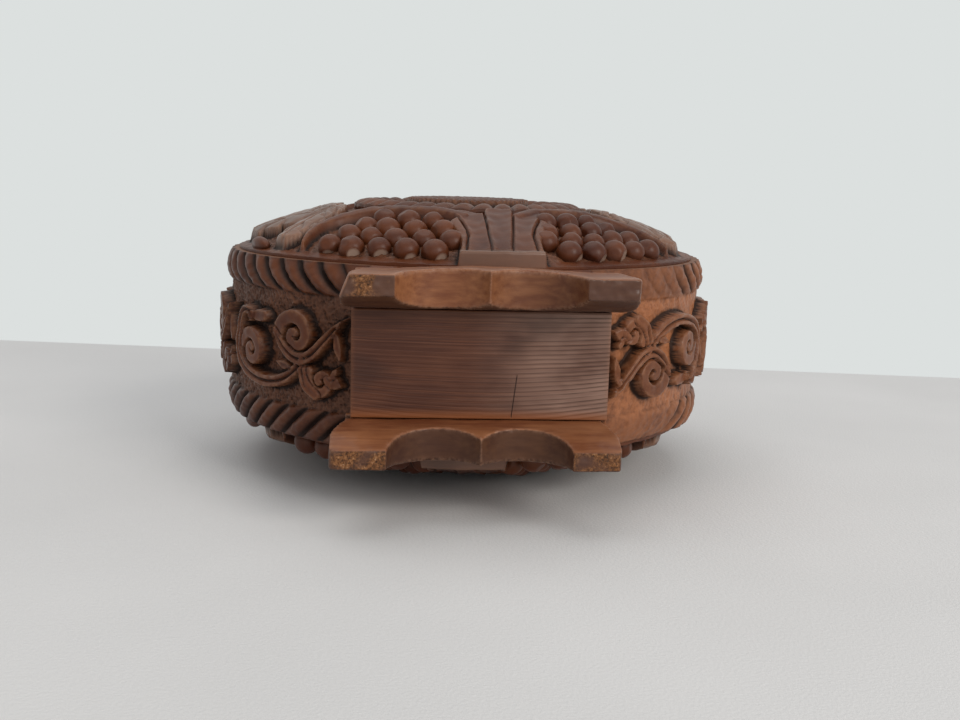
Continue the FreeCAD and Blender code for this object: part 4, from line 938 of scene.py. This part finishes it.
def foot_wood():
    material, start = start_finish("foot_wood")
    place = start.node("ShaderNodeTexCoord", None, None, "Object")
    recess = mark_wire(start, "recess")
    crest = mark_wire(start, "crest")
    sole = mark_wire(start, "sole")
    raw = mark_wire(start, "raw")
    streak = noise(start, stretched(place, (0.12, 1, 1)), 460, 4)
    broad = noise(start, stretched(place, (0.5, 1, 1)), 55, 3)
    fleck = noise(start, place, 900, 4, 0.7)
    shade = (broad * 0.5 + streak * 0.5).eased(0.32, 0.7)
    colour = blend(shade, tone("6b3a22"), tone("986340"))
    # Painted shade, partly real grime: hollows, undersides and upright faces of the rails are darkened
    colour = blend((recess * 1.2).held(), colour, tone("1a0b06"))
    colour = blend((crest * fleck.eased(0.35, 0.65)).held() * 0.6, colour, tone("a27a62"))
    colour = blend(sole * 0.8, colour, tone("453029"))
    grains = fleck.node("ShaderNodeValToRGB", {"stops": [(0.36, tone("332012")), (0.5, tone("6d4425")),
                                                         (0.62, tone("93633a")), (0.76, tone("d3bea4"))]},
                        {"Fac": fleck})
    colour = blend(raw, colour, grains)
    roughness = (0.36 + recess * 0.2 + streak * 0.1 - sole * 0.12 + raw * 0.3).held()
    finish_wood(start, colour, roughness, streak * 0.3 + fleck * raw * 1.2, 0.3, 0.12)
    return material


def panel_wood():
    material, start = start_finish("panel_wood")
    place = start.node("ShaderNodeTexCoord", None, None, "Object")
    recess = mark_wire(start, "recess")
    crest = mark_wire(start, "crest")
    parts = place.node("ShaderNodeSeparateXYZ", None, {"Vector": place})
    across = parts / MM
    up = parts.beside("Z") / MM - MIDDLE
    drift = noise(start, place, 30, 2)
    ring = up - across ** 2 * (0.5 - up / RING_SPREAD) * RING_SAG + (drift - 0.5) * 1.4
    wave = (ring * (2 * math.pi / RING_WIDTH)).sine()
    line = start.node("ShaderNodeTexNoise", {"noise_dimensions": "1D"},
                      {"W": ring * 1.9, "Scale": 1.0, "Detail": 3.0, "Roughness": 0.6})
    streak = noise(start, stretched(place, (0.06, 1, 1)), 700, 3)
    broad = noise(start, stretched(place, (0.6, 1, 1)), 40, 3)
    smudge = noise(start, stretched(place, (0.6, 1, 1)), 52, 2).eased(0.55, 0.72)
    # Towards the right, where the panel is painted paler as if lit and its growth lines show more
    rubbed = across.eased(-20, 40)
    shade = (line * 0.35 + streak * 0.3 + broad * 0.35).eased(0.36, 0.68)
    colour = blend(shade, tone("452418"), tone("6a412d"))
    # Painted light: the right side of the panel is made paler and greyer
    colour = blend(across.eased(-8, 38) * broad.eased(0.2, 0.55) * 0.75, colour, tone("a08172"))
    dark_line = wave.eased(0.35, 1.0) * streak.eased(0.25, 0.55) * (0.12 + rubbed * 0.5)
    colour = blend(dark_line, colour, tone("25120b"))
    pale_line = (0 - wave).eased(0.6, 1.0) * rubbed * streak.eased(0.42, 0.65) * 0.22
    colour = blend(pale_line, colour, tone("b49886"))
    colour = blend(smudge * 0.55, colour, tone("2f1d18"))
    colour = blend((0 - up).eased(14.5, 18.6) * 0.8, colour, tone("90542d"))
    split = (across - up * CRACK_LEAN - CRACK_PLACE).size()
    split = (1 - split.eased(0.05, 0.22)) * (0 - up).eased(2.8, 4) * up.eased(-18.4, -17.4)
    colour = blend(split * 0.7, colour, tone("0f0805"))
    # Painted shade in the panel's hollows
    colour = blend((recess * 1.2).held(), colour, tone("140905"))
    colour = blend((crest * 0.5).held(), colour, tone("8a5a3e"))
    roughness = (0.42 + line * 0.15 + recess * 0.2).held()
    finish_wood(start, colour, roughness, wave * 0.08 + streak * 0.3 + line * 0.25 - split * 2, 0.25, 0.06)
    return material


def board_wood(name, dark, light, grain, gloss):
    """A plain straight-grained board or stick."""
    material, start = start_finish(name)
    place = start.node("ShaderNodeTexCoord", None, None, "Object")
    streak = noise(start, stretched(place, grain), 480, 4)
    broad = noise(start, place, 30, 3)
    pores = noise(start, stretched(place, tuple(0.5 * g for g in grain)), 1500, 2)
    colour = blend((streak * 0.6 + broad * 0.4).eased(0.3, 0.72), tone(dark), tone(light))
    colour = blend(pores.eased(0.6, 0.7) * 0.4, colour, tone("2a160c"))
    roughness = (gloss + streak * 0.15).held()
    finish_wood(start, colour, roughness, streak * 0.5 + pores * 0.3, 0.25, 0.08)
    return material


# Build

CARVED = carved_wood()
FOOT = foot_wood()
PANEL = panel_wood()
INNER = board_wood("inner_wood", "5b3a22", "8d6240", (0.1, 1, 1), 0.55)
BOLT = board_wood("bolt_wood", "4a2716", "75492c", (0.1, 1, 1), 0.38)
PEG = board_wood("peg_wood", "704a2a", "a67a4c", (1, 0.1, 0.3), 0.55)

LID_TURN = 5.5
BACK_TURN = -2

for side, label in ((-1, "carved_wall_left"), (1, "carved_wall_right")):
    settle(carve_wall(label, side), "case", "carved_wood", CARVED, "drum_wall")
settle(front_of_wall(), "case", "carved_wood", CARVED, "drum_wall")
settle(carve_dome("carved_lid", LID_SEAM, 1, LID_TURN), "lid", "carved_wood", CARVED, "lid_dome")
settle(grape_bunches("lid_grapes", LID_SEAM, 1, LID_TURN), "lid", "carved_wood", CARVED)
settle(carve_rosette("carved_boss", LID_SEAM, 1, LID_BOSS_FACE, LID_BOSS_SUNK),
       "lid", "carved_wood", CARVED, "lid_rosette")
settle(carve_dome("carved_back", BACK_SEAM, -1, BACK_TURN), "case", "carved_wood", CARVED, "back_dome")
settle(grape_bunches("back_grapes", BACK_SEAM, -1, BACK_TURN), "case", "carved_wood", CARVED)
settle(carve_rosette("carved_back_boss", BACK_SEAM, -1, BACK_BOSS_FACE, BACK_BOSS_SUNK),
       "case", "carved_wood", CARVED, "back_rosette")
# The last argument sets the painted shade on each rail's upright faces, from left to right
settle(work_rail("worn_rail_upper", "foot_rail_upper", way=1, stretch=0.994, shift=1.2, bow=0, crown=1,
                 lean=2.9, raw_end=-34, face_shade=(0, 0.4)),
       "case", "foot_wood", FOOT, "foot_rail_upper")
settle(work_rail("worn_rail_lower", "foot_rail_lower", way=-1, stretch=0.987, shift=-2.2, bow=1.8, crown=0,
                 lean=0, raw_end=60, face_shade=(0.6, 0.6)),
       "case", "foot_wood", FOOT, "foot_rail_lower")
settle(work_panel(), "panel", "foot_wood", PANEL, "sole_panel")

PLAIN_FINISHES = {
    CARVED: ["cheek_left", "cheek_right"],
    INNER: ["lid_liner", "floor_board", "partition", "chamber_ceiling", "bolt_bed"],
    BOLT: ["lid_catch", "bolt_strap_left", "bolt_strap_right", "bolt_keeper", "bolt_bar", "bolt_knob"],
    PEG: ["liner_pegs", "floor_pegs", "rail_dowels", "panel_stop_peg"],
}
for finish, nodes in PLAIN_FINISHES.items():
    for node in nodes:
        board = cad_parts[node]
        board.data.materials.clear()
        board.data.materials.append(finish)
        eased = board.modifiers.new("eased_arrises", "BEVEL")
        eased.width = 0.35 * MM
        eased.segments = 2
        eased.limit_method = "ANGLE"


# Floor, light and camera

def floor_finish():
    material, start = start_finish("pale_cloth")
    place = start.node("ShaderNodeTexCoord", None, None, "Object")
    weave = noise(start, place, 900, 2)
    broad = noise(start, place, 5, 3)
    colour = blend(broad.eased(0.3, 0.7), tone("dcdcdb"), tone("e2e2e1"))
    bump = start.node("ShaderNodeBump", None,
                      {"Strength": 0.2, "Distance": MM, "Height": weave + broad * 8})
    surface = start.node("ShaderNodeBsdfPrincipled", None,
                         {"Base Color": colour, "Roughness": 0.9, "Normal": bump})
    start.node("ShaderNodeOutputMaterial", None, {"Surface": surface})
    return material


def make_floor():
    mesh = bpy.data.meshes.new("floor")
    corners = [(-3, -3, 0), (3, -3, 0), (3, -0.182, 0), (-3, 0.672, 0)]
    mesh.from_pydata(corners, [], [(0, 1, 2, 3)])
    floor = bpy.data.objects.new("floor", mesh)
    bpy.context.scene.collection.objects.link(floor)
    mesh.materials.append(floor_finish())


def add_light(name, place, aim, side, power, colour):
    lamp = bpy.data.lights.new(name, "AREA")
    lamp.size = side
    lamp.energy = power
    lamp.color = colour
    light = bpy.data.objects.new(name, lamp)
    light.location = place
    light.rotation_euler = (Vector(aim) - Vector(place)).to_track_quat("-Z", "Y").to_euler()
    bpy.context.scene.collection.objects.link(light)


def make_world():
    world = bpy.data.worlds.new("studio")
    bpy.context.scene.world = world
    world.use_nodes = True
    world.node_tree.nodes.clear()
    start = Wire(world.node_tree)
    seen = start.node("ShaderNodeLightPath", None, None, "Is Camera Ray")
    glossy = seen.beside("Is Glossy Ray")
    clear = seen.beside("Is Transmission Ray")
    wall = start.node("ShaderNodeBackground", None, {"Color": tone("dce0df"), "Strength": 1.0})
    soft = start.node("ShaderNodeBackground", None, {"Color": tone("e4e5e8"), "Strength": 0.44})
    light = start.node("ShaderNodeMixShader", None,
                       {0: (seen + glossy + clear).held(), 1: soft, 2: wall})
    start.node("ShaderNodeOutputWorld", None, {"Surface": light})


CAMERA_PLACE = (-29.1, -462.3, 119.1)
CAMERA_PAN = -0.078
CAMERA_PITCH = 0.168
CAMERA_ROLL = 0.029
FOCAL_SHARE = 1100 / 960


def make_camera():
    lens = bpy.data.cameras.new("view")
    lens.sensor_width = 36
    lens.lens = FOCAL_SHARE * lens.sensor_width
    lens.clip_start = 0.01
    camera = bpy.data.objects.new("view", lens)
    right = Vector((math.cos(CAMERA_PAN), math.sin(CAMERA_PAN), 0))
    level = Vector((-math.sin(CAMERA_PAN), math.cos(CAMERA_PAN), 0))
    ahead = level * math.cos(CAMERA_PITCH) - Vector((0, 0, math.sin(CAMERA_PITCH)))
    above = level * math.sin(CAMERA_PITCH) + Vector((0, 0, math.cos(CAMERA_PITCH)))
    side = right * math.cos(CAMERA_ROLL) + above * math.sin(CAMERA_ROLL)
    top = above * math.cos(CAMERA_ROLL) - right * math.sin(CAMERA_ROLL)
    turned = Matrix((side, top, -ahead)).transposed()
    camera.matrix_world = Matrix.Translation(Vector(CAMERA_PLACE) * MM) @ turned.to_4x4()
    bpy.context.scene.collection.objects.link(camera)
    bpy.context.scene.camera = camera


make_floor()
make_world()
add_light("window", (1.5, -1.9, 1.3), (0, 0, 0.04), 1.2, 32, (1, 0.96, 0.91))
add_light("room", (-0.3, -2.3, 1.2), (0, 0, 0.04), 1.4, 7, (1, 0.97, 0.94))
add_light("ceiling", (-0.3, 0.1, 2.4), (-0.2, 0.1, 0), 2.4, 19, (1, 0.99, 0.98))
make_camera()
bpy.context.scene.view_settings.view_transform = "Standard"
